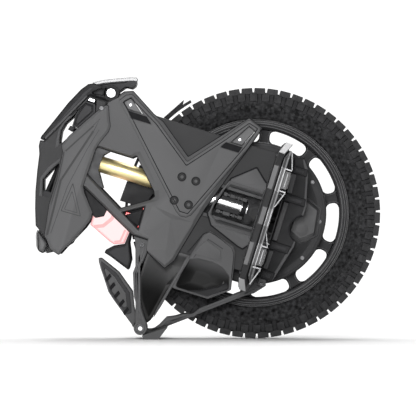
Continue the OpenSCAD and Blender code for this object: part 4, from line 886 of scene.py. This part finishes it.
V, F = slab_mesh([(-186, 346), (-165, 333), (-127, 316), (-107, 309.5), (-96, 310.5), (-84, 318), (-61, 337), (-50, 346)], [(-92, 0), (92, 0)], (), 3, 3, 1)
finish_obj("top_shell_belly", V, F, "dark", "frame", slot="shell_dark", bev=1.0, smooth=30)
for s, side in ((-1, "right"), (1, "left")):
    # pale strip painted as the highlight on the bevel above the rear window, latch block and rod in it
    slab("rear_window_bevel_highlight_" + side, [(-94, 412.5), (-94, 419), (-59, 427.5), (-34, 419), (-8, 400), (-15.5, 398.6), (-38, 411.6), (-59.6, 421.4)], [(102, 0), (104.4, 0.3), (105.4, 1.6)], "ledge", "frame", slot="body_charcoal", r=1.5, n=2, s=s, bev=0.3)
    # pale strip along the front window's upper bevel: painted highlight
    slab("front_window_bevel_highlight_" + side, [(5, 416.5), (24, 419.5), (45, 421), (60, 416), (74, 409), (80, 400), (58.9, 412.4), (42.6, 416), (24.2, 413.4), (13, 410)], [(102, 0), (104.4, 0.3), (105.2, 1.4)], "ledge", "frame", slot="body_charcoal", r=1.2, n=2, s=s, bev=0.3)
    slab("front_window_web_" + side, [(104, 364), (121, 367.5), (121.8, 381.5), (108, 388)], [(84, 0), (90, 0.2)], "black", "frame", slot="black_plastic", r=1.2, n=2, s=s, bev=0)
V, F = merge(slab_mesh([(-108, 395), (-108, 414), (-84, 416), (-80, 411), (-80, 396)], [(-99, 1.4), (-97.5, 0), (-60, 0), (-58.5, 1.4)], (), 2, 3, 1), slab_mesh([(-108, 395), (-108, 414), (-84, 416), (-80, 411), (-80, 396)], [(58.5, 1.4), (60, 0), (97.5, 0), (99, 1.4)], (), 2, 3, 1))
finish_obj("rear_window_latches", V, F, "shell", "frame", slot="shell_dark", bev=0.4, smooth=30)
rods = []
for y in (-70, 70):
    rods.append(closed_tube((-82, y, 406.5), (1, 0, -0.12), [(4.2, 0), (4.2, 62)], 24))
V, F = merge(*rods)
finish_obj("rear_window_rods", V, F, "dark", "frame", slot="black_plastic", bev=0.3, smooth=35)

SIDE = [(-191, 356), (-193.5, 347), (-172, 337), (-165, 331), (-158, 329.5), (-127, 314), (-107, 307.5), (-94, 308.5), (-84, 317), (-61, 336), (-50, 341.5), (-10, 340.5), (28, 339.5), (39, 336.5),
        (69, 325), (79, 325), (93.5, 331.6), (117, 340.5), (114.3, 347.3), (97, 359.6), (80.7, 370), (56, 384.9), (36.2, 396.7), (14.4, 405.6), (3, 399), (-52.8, 394), (-104, 394), (-166, 385), (-172, 378.5), (-188, 366)]


for s, side in ((-1, "right"), (1, "left")):
    slab("side_cover_seam_" + side, offs(ccw(SIDE), -0.9), [(103.6, 0), (104.6, 0)], "black", "frame", slot="black_plastic", r=3, n=3, s=s, bev=0)
    slab("side_cover_%s_base" % side, SIDE, [(104, 0.3), (105.4, 0.0), (108.6, 0.0), (112, 4.4)], "cover", "frame", reps=["side_cover_" + side], slot="cover_charcoal", r=3, n=3, s=s, bev=0.5)
    # the grooves are not cut: darker strips and triangle frames laid on the cover paint the shade in them
    for k, (pth, wd, mt) in enumerate((([(-163, 380.4), (-52, 386.6), (60, 353.6)], 4.4, "groove"), ([(6, 394.6), (70, 356.4)], 3.4, "groove"), ([(60, 353.2), (88, 348.6), (71, 357)], 1.6, "shell"), ([(-158, 374.6), (-60, 370.4), (23, 354.8), (66, 343.6)], 1.1, "shell"), ([(-104, 391), (-52, 391.2), (4, 397.2)], 1.0, "shell"))):
        slab("side_cover_line_%d_%s" % (k, side), stroke(pth, wd), [(111.6, 0), (112.3, 0.15)], mt, "frame", slot="shell_dark", r=0.4, n=2, s=s, bev=0)
    TRI = ccw([(-110, 369), (-48, 362.5), (-109, 327)])
    slab("side_cover_tri_" + side, TRI, [(111.5, 0, 0), (112.4, 0.2, 0.2)], "groove", "frame", slot="cover_charcoal", r=1.5, n=3, s=s, bev=0, holes=[{"p": offs(TRI, 1.6), "r": 1.0, "n": 2}])
    slab("side_cover_tri_in_" + side, offs(TRI, 5.0), [(111.5, 0, 0), (112.3, 0.2, 0.2)], "groove", "frame", slot="cover_charcoal", r=1.5, n=3, s=s, bev=0, holes=[{"p": offs(TRI, 6.2), "r": 1.0, "n": 2}])

# ---------------------------------------------------------------- handle, cowl, lamp, display
refine("front_cowl", "shell", 1.8)
for s, side in ((-1, "right"), (1, "left")):
    slab("cowl_slot_a_" + side, stroke([(128, 392 - 14), (146, 378), (160, 350), (172, 320)], 2.4), [(79, 0), (80.8, 0.2)], "black", "frame", slot="black_plastic", r=0.5, n=2, s=s, bev=0)
HL = [(146.5, 380.5), (157, 362), (169, 332), (177, 312), (179, 300.6), (184, 300.6), (187, 304), (184, 315), (176, 335.4), (163, 366), (151.5, 385.5)]
V, F = slab_mesh(HL, [(-66, 1.6), (-63, 0), (63, 0), (66, 1.6)], (), 1.5, 3, 1)
finish_obj("headlight_glass", V, F, "head_lens", "frame", reps=["headlight_lens"], slot="head_lens", bev=0.4, smooth=30)
ribs = []
for y in (-40, -20, 0, 20, 40):
    ribs.append(slab_mesh([(x + 1.0, z + 0.5) for x, z in HL], [(y - 1.0, 0.3), (y + 1.0, 0.3)], (), 1.0, 2, 1))
V, F = merge(*ribs)
finish_obj("headlight_ribs", V, F, "shell", "frame", slot="shell_dark", bev=0.2, smooth=30)

HA = [(14, 442), (14, 449.8), (20, 449.4), (40, 441.3), (100, 417.5), (132, 401.5), (146, 391), (151, 380), (150, 362), (154, 350), (126.6, 350), (127, 378), (124.6, 382.6)]
EAR = [(130.5, 377), (133, 378.5), (145.5, 364), (144.5, 358.5), (133.5, 357.5)]
for s, side in ((-1, "right"), (1, "left")):
    slab("handle_arm_" + side, HA, [(84, 1.2, 0.6), (85.4, 0, 0), (101, 0, 0), (103.5, 2.6, 1.6)], "dark", "handle", reps=["handle"] if s < 0 else [], slot="handle_dark", holes=[{"p": EAR, "r": 2}], r=3, n=3, s=s, bev=0.5)
    # pale strip along the lower edge of the arm: painted highlight on that edge
    slab("handle_edge_highlight_" + side, [(16, 439.2), (100, 396.5), (122, 385.2), (125, 388), (102, 400), (20, 442.8)], [(102.8, 0), (103.9, 0.2), (104.4, 0.9)], "ledge", "handle", slot="handle_dark", r=1, n=2, s=s, bev=0.2)
    slab("handle_inlay_" + side, [(40, 434), (100, 408), (130, 393.5), (141, 385), (145, 377), (133, 383.5), (104, 398.5), (46, 428.5)], [(102.9, 0), (104.2, 0.2), (104.8, 1.0)], "shell", "handle", slot="handle_dark", r=1.5, n=2, s=s, bev=0.2)
    V, F = side_of(tube_mesh((142.3, 0, 342.9), (0, 1, 0), [(9.15, 84), (15.6, 84), (16, 84.6), (16, 102.6), (15.2, 103.5), (11.6, 103.5), (11.2, 102.7), (9.6, 102.7), (9.15, 103.2), (9.15, 84)], 56), s)
    finish_obj("handle_eye_" + side, V, F, "dark", "handle", slot="handle_dark", bev=0, smooth=35)
    # pivot in the near-white finish: painted highlight
    V, F = side_of(closed_tube((142.3, 0, 342.9), (0, 1, 0), [(9.0, 80.2), (9.0, 102.4), (8.4, 103.0), (0.01, 103.4)], 48), s)
    finish_obj("handle_pivot_" + side, V, F, "pin_highlight", "frame", reps=["handle_pivots"] if s < 0 else [], slot="stanchion_chrome", bev=0, smooth=30)
V, F = slab_mesh([(14, 442), (14, 449.8), (20, 449.4), (42, 440.5), (44, 427.5)], [(-85, 0.2), (-84, 0), (84, 0), (85, 0.2)], (), 3.2, 4, 1)
finish_obj("handle_bar", V, F, "dark", "handle", slot="handle_dark", bev=0.8, smooth=35)
gr = []
for i in range(13):
    y = -48 + 8 * i
    gr.append(slab_mesh([(14.6, 442.5), (14.6, 450.2), (20.3, 449.9), (42.4, 441.1), (43.8, 428.6)], [(y - 2.4, 0.5), (y - 1.8, 0), (y + 1.8, 0), (y + 2.4, 0.5)], (), 3.2, 4, 1))
V, F = merge(*gr)
finish_obj("handle_grip_ribs", V, F, "shell", "handle", slot="handle_dark", bev=0, smooth=40)

DM = [(57.5, 386), (80.7, 371.6), (97, 361.6), (112, 366.5), (112, 386), (99, 392.2), (80, 397.2), (57.5, 397.2)]
refine("display_module", "shell", 0.8)
for s, side in ((-1, "right"), (1, "left")):
    slab("display_cheek_" + side, [(60, 388), (81, 375), (97, 365.4), (109, 369), (109, 385), (98, 390), (80, 395), (60, 395)], [(99.6, 0, 0), (101, 0.3, 0.3), (101.6, 1.2, 1.0)], "dark", "frame", slot="module_grey",
         holes=[{"p": [(65, 388), (82, 378), (97, 369.4), (105, 372), (105, 383), (96, 387), (79, 391.4), (65, 391.4)], "r": 1.5}], r=2, n=2, s=s, bev=0.25)
    slab("display_clip_" + side, [(113.6, 367), (122, 369), (122, 381), (113.6, 385)], [(90, 0.2), (97, 0), (99, 1.4)], "bright", "frame", slot="bright_steel", r=1.5, n=2, s=s, bev=0.3)
    slab("strap_buckle_" + side, [(47.5, 393.5), (57, 389), (57, 401), (47.5, 403.5)], [(84, 0.2), (92, 0), (94, 1.4)], "shell", "frame", slot="shell_dark", r=1.5, n=2, s=s, bev=0.3)
    V, F = side_of(closed_tube((108, 0, 352), (0, 1, 0), [(4.6, 111), (4.6, 112.8), (4.0, 113.4), (2.2, 113.4), (1.9, 112.2), (0.01, 112.2)], 28), s)
    finish_obj("cover_screw_" + side, V, F, "bolt", "frame", slot="bright_steel", bev=0, smooth=35)
V, F = closed_tube((74, 40, 0), (0, 0, 1), [(7.9, 394.3), (7.9, 397.6), (7.2, 398.3), (5.6, 398.5), (5.2, 398.2), (0.01, 398.0)], 40)
finish_obj("power_button_cap", V, F, "button", "power_button", reps=["power_button"], slot="button_red", bev=0, smooth=35)

# ---------------------------------------------------------------- rear flap
FLAP = [(-262.4, 167.6), (-249, 175.2), (-220.9, 187), (-192.2, 224.5), (-175.9, 266), (-177.4, 270.6), (-184, 268), (-196, 260.5), (-209.5, 250.5), (-235.7, 232), (-249, 215.8), (-286, 166), (-276, 164)]
FHOLE = [(-254, 184), (-228, 195), (-204, 226), (-188, 259), (-200, 252), (-232, 227), (-246, 212), (-264, 188)]
refine("rear_flap", "cover", 1.2)
for s, side in ((-1, "right"), (1, "left")):
    slab("flap_cheek_" + side, [(-262, 176), (-250, 180), (-224, 191.5), (-196, 226), (-181, 264), (-186, 263), (-198, 256.5), (-211, 246.5), (-236, 228.5), (-249, 212), (-268, 184)], [(59.2, 0, 0), (60.2, 0.2, 0.1), (60.9, 1.0, 0.8)], "shell", "rear_flap", slot="shell_dark",
         holes=[{"p": [(-252, 189), (-228, 199), (-204, 229), (-191, 255), (-204, 247), (-232, 226), (-244, 211), (-256, 194)], "r": 2}], r=2, n=3, s=s, bev=0.2)

for s, side in ((-1, "right"), (1, "left")):
    sl = []
    for cx, cz in ((-209, 240.6), (-222.5, 228), (-236, 214.5), (-249, 200.5), (-261.5, 187.5)):
        e, nn = Vector((-0.69, -0.72)), Vector((0.92, -0.39))
        c0 = Vector((cx, cz))
        q = [c0 + nn * 7.5 + e * 3.6, c0 + nn * 7.5 - e * 3.6, c0 - nn * 7.5 - e * 3.6, c0 - nn * 7.5 + e * 3.6]
        sl.append(slab_mesh([tuple(v) for v in q], [(60.4, 0), (61.3, 0.2)], (), 1.0, 2, s))
    V, F = merge(*sl)
    finish_obj("flap_slots_" + side, V, F, "black", "rear_flap", slot="black_plastic", bev=0, smooth=30)

# ---------------------------------------------------------------- pedals
DECK = [(-152, 124), (-152, 160), (-131, 208), (-103, 226), (-98, 230), (-54, 230), (-19, 216), (17, 216), (52, 230), (102, 230), (127, 212), (150, 165), (150, 124), (53, 124), (53, 131), (-54, 131), (-54, 124)]


def flat_mesh(outer, levels, s, r=2.0, n=3, holes=()):
    """As slab_mesh, stacked in Z over an (x, |y|) outline: levels are (z, inset)."""
    V, F = slab_mesh([(x, y) for x, y in outer], levels, holes, r, n, 1)
    return [(v[0], s * v[2], v[1]) for v in V], F


def droop(V, x0, k, top=None):
    return [(x, y, z - max(0, abs(x) - x0) * k if (top is None or z > top) else z) for x, y, z in V]


for s, side in ((-1, "right"), (1, "left")):
    b = "pedal_" + side
    V, F = flat_mesh(DECK, [(-18.4, 1.6), (-16.6, 0.2), (-8.2, 0.0), (-6.0, 2.4)], s, 3, 3)
    V = droop(V, 131, 0.42)
    finish_obj(b + "_deck", V, F, "pedal", b, reps=[b], slot="pedal_alloy", bev=0.5, smooth=32)
    V, F = flat_mesh([(-130, 134), (-130, 158), (-122, 198), (-99, 218), (-95, 222), (-56, 222), (-21, 208), (19, 208), (54, 222), (99, 222), (120, 202), (130, 162), (130, 134), (56, 134), (56, 138), (-57, 138), (-57, 134)], [(-6.8, 0.3), (-5.6, 0.0), (-5.2, 0.4)], s, 3, 3)
    finish_obj(b + "_grip_tape", V, F, "grip", b, slot="pedal_alloy", bev=0, smooth=30)
    # facets let into the outer edge of the deck
    fac = []
    for x0, x1, y0, zt, zb in ((-102.5, -55.5, 229.6, -5.2, -14.2), (-18.5, 17.5, 215.6, -8.6, -18.6), (53.0, 101.5, 229.6, -6.0, -16.0)):
        V0 = [(x0, y0 - 4, zb), (x1, y0 - 4, zb), (x1, y0 - 4, zt), (x0, y0 - 4, zt), (x0 + 0.6, y0 + 0.4, zb + 0.6), (x1 - 0.6, y0 + 0.4, zb + 0.6), (x1 - 0.6, y0 + 0.4, zt - 0.6), (x0 + 0.6, y0 + 0.4, zt - 0.6)]
        fac.append(side_of((V0, [(0, 1, 2, 3), (7, 6, 5, 4), (0, 4, 5, 1), (1, 5, 6, 2), (2, 6, 7, 3), (3, 7, 4, 0)]), s))
    V, F = merge(*fac)
    finish_obj(b + "_facets", V, F, "facet", b, slot="pedal_alloy", bev=0.3, smooth=30)
    ends = []
    for sx, xa, ya, xb, yb, za, zb_ in ((-1, -131.5, 208.6, -152.4, 161.0, -5.6, -12.6), (1, 127.6, 212.6, 150.4, 166.0, -7.6, -16.6)):
        V0 = []
        for dy in (-3.0, 0.9):
            for x, y, z0, z1 in ((xa, ya, za - 11.5, za), (xb, yb, zb_ - 13.4, zb_)):
                V0 += [(x + sx * dy * 0.6, y + dy, z0), (x + sx * dy * 0.6, y + dy, z1)]
        ends.append(side_of((V0, [(0, 1, 3, 2), (4, 6, 7, 5), (0, 4, 5, 1), (2, 3, 7, 6), (1, 5, 7, 3), (0, 2, 6, 4)]), s))
    V, F = merge(*ends)
    finish_obj(b + "_end_facets", V, F, "end_facet", b, slot="pedal_alloy", bev=0.4, smooth=30)
    # metal underframe: pointed at both ends, with two bright edges
    U = [(-138, 128), (-138, 160), (-122, 200), (-98, 224), (-54, 224), (-19, 210), (17, 210), (52, 224), (102, 224), (120, 200), (137, 162), (137, 128), (53, 128), (53, 131), (-54, 131), (-54, 128)]
    V, F = flat_mesh(U, [(-30.6, 1.2), (-29.8, 0.2), (-21.4, 0.0), (-20.6, 0.8)], s, 3, 3)
    finish_obj(b + "_frame", droop(V, 120, 0.5, -25), F, "truss", b, slot="bright_steel", bev=0.4, smooth=32)
    for k, (za, zb_) in enumerate(((-23.2, -21.4), (-30.2, -27.6))):
        V, F = flat_mesh(U, [(za, -0.1), (za + 0.3, -0.5), (zb_ - 0.3, -0.5), (zb_, -0.1)], s, 3, 3)
        finish_obj(b + "_edge_%d" % k, droop(V, 120, 0.5 if k == 0 else 0.06), F, "chain", b, slot="bright_steel", bev=0, smooth=32)
    V, F = flat_mesh(offs(ccw(U), 2.0), [(-21.4, 0), (-17.4, 0)], s, 3, 2)
    finish_obj(b + "_gasket", droop(V, 120, 0.4), F, "black", b, slot="black_plastic", bev=0, smooth=32)
    # hinge blocks with bright posts and gusset rods; a bright strip across each block is a painted highlight
    blk, pst = [], []
    for x0, x1, zz in ((-102, -58, 0.0), (55, 99.5, -1.6)):
        blk.append(side_of(box_mesh(x0 + 4.5, x1 - 3, 140, 219, -41.6 + zz, -29.5, 0.8, 0.5), s))
        blk.append(side_of(box_mesh(x0 + 8, x1 - 7, 138, 216, -43.4 + zz, -41.0 + zz, 0.6, 0.3), s))
        V1, F1 = tube_mesh((x0, s * 120, -12), (1, 0, 0), [(5.2, 0), (7.2, 0), (8.0, 0.8), (8.0, x1 - x0 - 0.8), (7.2, x1 - x0), (5.2, x1 - x0), (5.2, 0)], 40)
        blk.append((V1, F1))
        blk.append(side_of(box_mesh(x0 + 0.5, x1 - 0.5, 120.5, 128, -19.0, -7.0, 0, 0), s))
        for xa in (x0 - 1.6, x1 - 1.8):
            pst.append(side_of(box_mesh(xa, xa + 3.4, 136, 222.5, -41.8 + zz, -24.5, 0.3, 0.3), s))
        # painted highlight: a strip of the bright edge material across the face of each block
        pst.append(side_of(box_mesh(x0 + 8, x1 - 7, 215, 220.4, -36.8 + zz, -34.4 + zz, 0.4, 0.3), s))
        for dx in (-5, 0.5, 6):
            pst.append(side_of(box_mesh((x0 + x1) / 2 + dx - 1.4, (x0 + x1) / 2 + dx + 1.4, 214, 218.6, -41.8 + zz, -39.6 + zz, 0.4, 0.4), s))
    V, F = merge(*blk)
    finish_obj(b + "_knuckles", V, F, "truss", b, slot="bright_steel", bev=0.6, smooth=30)
    for path, wd in (([(-137, -29), (-103, -41)], 2.2), ([(-32, -31), (-57, -41)], 1.6), ([(22, -31), (54, -43)], 2.2), ([(135, -32.5), (101, -43)], 1.6)):
        for ya in (150, 182, 212):
            pst.append(slab_mesh(stroke(path, wd), [(ya, 0), (ya + 6, 0)], (), 0.4, 1, s))
    V, F = merge(*pst)
    finish_obj(b + "_posts", V, F, "chain", b, slot="bright_steel", bev=0.4, smooth=30)
    st = []
    for x in range(-120, 121, 30):
        for y in (150, 178, 206):
            if abs(x) > 20 or y < 200:
                st.append(closed_tube((x, s * y, 0), (0, 0, 1), [(2.5, -6.4), (2.5, -3.8), (1.7, -3.05), (0.01, -3.05)], 12))
    V, F = merge(*st)
    finish_obj(b + "_studs", V, F, "bolt", b, slot="dark_bolt", bev=0, smooth=35)
refine("pedal_hangers", "steel", 0.8)

# ---------------------------------------------------------------- tail pad: padded leather roll, inflated as cloth
PADO = [(-203, 378), (-201, 388), (-197, 392.5), (-152.8, 407.8), (-172.5, 379), (-176.5, 373.4), (-186, 371.8), (-199, 374.2)]


def pad_base():
    core = offs(ccw(PADO), 1.0)
    ys = [(-84, 5.0), (-82, 2.6), (-76, 0.9), (-60, 0.2), (-40, 0), (-20, 0.25), (0, 0), (20, 0.25), (40, 0), (60, 0.2), (76, 0.9), (82, 2.6), (84, 5.0)]
    return slab_mesh(core, [(y, i) for y, i in ys], (), 2.0, 3, 1)


V, F = pad_base()
pad = finish_obj("tail_pad_cover", V, F, "leather", "frame", bev=0, smooth=180)
src = bpy.data.objects["tail_pad_cover"]
src.modifiers.clear()
scn = bpy.context.scene


def only(o):
    for q in bpy.context.view_layer.objects:
        q.select_set(False)
    o.select_set(True)
    bpy.context.view_layer.objects.active = o


src.parent = None
src.matrix_world = Matrix.Identity(4)
only(src)
rm = src.modifiers.new("remesh", "REMESH"); rm.mode = "VOXEL"; rm.voxel_size = 0.0035
bpy.ops.object.modifier_apply(modifier="remesh")
rest = [v.co.copy() for v in src.data.vertices]
cl = src.modifiers.new("cloth", "CLOTH")
cl.settings.quality = 5
cl.settings.use_pressure = True
cl.settings.uniform_pressure_force = 4
cl.settings.effector_weights.gravity = 0
cl.point_cache.frame_start = 1; cl.point_cache.frame_end = 20
for f in range(1, 21):
    scn.frame_set(f)
only(src)
bpy.ops.object.modifier_apply(modifier="cloth")
scn.frame_set(1)
for v, r in zip(src.data.vertices, rest):
    d = v.co - r
    if d.length > 0.0032:
        v.co = r + d * (0.0032 / d.length)
inv = M.inverted()
bm = bmesh.new(); bm.from_mesh(src.data)
bmesh.ops.smooth_vert(bm, verts=bm.verts, factor=0.5, use_axis_x=True, use_axis_y=True, use_axis_z=True)
bmesh.ops.smooth_vert(bm, verts=bm.verts, factor=0.5, use_axis_x=True, use_axis_y=True, use_axis_z=True)
for v in bm.verts:
    q = inv @ v.co
    # sewn channels across the pad
    dip = 0.0
    for c in (-56, -28, 0, 28, 56):
        dip = max(dip, math.exp(-((q.y - c) / 2.2) ** 2))
    ctr = Vector((-178, q.y, 388))
    q2 = q + (ctr - q).normalized() * dip * 1.5
    v.co = M @ q2
bm.to_mesh(src.data); bm.free()
src.data.materials.clear(); src.data.materials.append(MT["leather"])
for p in src.data.polygons:
    p.use_smooth = True
sb = src.modifiers.new("sub", "SUBSURF"); sb.levels = 1; sb.render_levels = 1
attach(src, "frame")
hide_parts("tail_pad")
# stitched piping at both ends
for s, side in ((-1, "right"), (1, "left")):
    ringp = fil(offs(ccw(PADO), 3.2), 2.5, 4)
    n = len(ringp)
    V, F = [], []
    for i, (x, z) in enumerate(ringp):
        a, c = Vector(ringp[i - 1]), Vector(ringp[(i + 1) % n])
        d = (c - a).normalized(); nn = Vector((d.y, -d.x))
        for k in range(8):
            t = 2 * math.pi * k / 8
            V.append((x + nn.x * 1.1 * math.cos(t), s * (82.5 + 1.1 * math.sin(t)), z + nn.y * 1.1 * math.cos(t)))
    for i in range(n):
        for k in range(8):
            F.append((8 * i + k, 8 * ((i + 1) % n) + k, 8 * ((i + 1) % n) + (k + 1) % 8, 8 * i + (k + 1) % 8))
    finish_obj("tail_pad_piping_" + side, V, F, "dark", "frame", slot="pad_leather", bev=0, smooth=180)

# ---------------------------------------------------------------- what is left of the CAD nodes
LEFT = {}
for nm, o in NODES.items():
    if not o.hide_render and (not o.data.materials or o.data.materials[0] is None or o.data.materials[0].name not in {m.name for m in MT.values()}):
        keep(nm, LEFT.get(nm, "dark"))

# ---------------------------------------------------------------- stage, light, camera
bm = bmesh.new()
ringv = [bm.verts.new((2.6 * math.cos(2 * math.pi * i / 96), 2.6 * math.sin(2 * math.pi * i / 96), 0.0)) for i in range(96)]
bm.faces.new(ringv)
me = bpy.data.meshes.new("floor"); bm.to_mesh(me); bm.free()
floor = bpy.data.objects.new("floor", me)
scn.collection.objects.link(floor)
fm, fnt, fb = new_mat("pale_floor")
fb.inputs["Base Color"].default_value = (0.96, 0.96, 0.96, 1); fb.inputs["Roughness"].default_value = 0.9
fb.inputs["Specular IOR Level"].default_value = 0.1
me.materials.append(fm)

w = bpy.data.worlds.new("studio"); scn.world = w; w.use_nodes = True
wn, wl = w.node_tree.nodes, w.node_tree.links
wt = wn.new("ShaderNodeTexCoord"); wx = wn.new("ShaderNodeSeparateXYZ"); wm = wn.new("ShaderNodeMapRange"); wr = wn.new("ShaderNodeValToRGB")
wm.inputs["From Min"].default_value = -1.0; wm.inputs["From Max"].default_value = 1.0
wl.new(wt.outputs["Generated"], wx.inputs["Vector"]); wl.new(wx.outputs["Y"], wm.inputs["Value"]); wl.new(wm.outputs["Result"], wr.inputs["Fac"])
wr.color_ramp.elements[0].position = 0.62; wr.color_ramp.elements[0].color = (0.17, 0.17, 0.17, 1)
wr.color_ramp.elements[1].position = 0.9; wr.color_ramp.elements[1].color = (1.15, 1.15, 1.15, 1)
wz = wn.new("ShaderNodeMapRange"); wb = wn.new("ShaderNodeValToRGB"); wmx = wn.new("ShaderNodeMath"); wmx.operation = "MAXIMUM"
wz.inputs["From Min"].default_value = -1.0; wz.inputs["From Max"].default_value = 1.0
wl.new(wx.outputs["Z"], wz.inputs["Value"]); wl.new(wz.outputs["Result"], wb.inputs["Fac"])
wb.color_ramp.elements[0].position = 0.525; wb.color_ramp.elements[0].color = (1.15, 1.15, 1.15, 1)
wb.color_ramp.elements[1].position = 0.56; wb.color_ramp.elements[1].color = (0.0, 0.0, 0.0, 1)
wl.new(wr.outputs["Color"], wmx.inputs[0]); wl.new(wb.outputs["Color"], wmx.inputs[1])
wl.new(wmx.outputs["Value"], wn["Background"].inputs[0])
wn["Background"].inputs[1].default_value = 1.0


def area(name, loc, target, size, power, size_y=None):
    l = bpy.data.lights.new(name, "AREA"); l.energy = power; l.size = size
    if size_y:
        l.shape = "RECTANGLE"; l.size_y = size_y
    o = bpy.data.objects.new(name, l); scn.collection.objects.link(o)
    o.location = loc
    o.rotation_euler = (Vector(target) - Vector(loc)).to_track_quat("-Z", "Y").to_euler()
    return o


area("key", (-0.35, -3.4, 0.9), (0, 0, 0.25), 1.3, 96)
area("top", (-0.4, -0.6, 2.6), (0, 0, 0.25), 1.4, 12)
area("side_left", (-2.6, 0.4, 1.2), (0, 0, 0.25), 1.2, 6)
area("side_right", (2.6, 0.2, 1.0), (0, 0, 0.25), 1.2, 5)
area("back", (0.4, 2.8, 1.5), (0, 0, 0.25), 1.6, 12)
area("floor_wash", (0.0, 1.6, 2.4), (0, 1.4, 0.0), 2.4, 46)

cam_d = bpy.data.cameras.new("cam")
cam = bpy.data.objects.new("cam", cam_d)
scn.collection.objects.link(cam)
cam_d.sensor_width = 36
cam_d.lens = 500
DIST = 0.8226 * 500 / 36
cam.location = (-0.001, -0.095 - DIST, 0.260)
cam.rotation_euler = (math.radians(90), 0, 0)
cam_d.clip_start = 0.5; cam_d.clip_end = 60
scn.camera = cam
scn.view_settings.view_transform = "Standard"
scn.view_settings.look = "None"
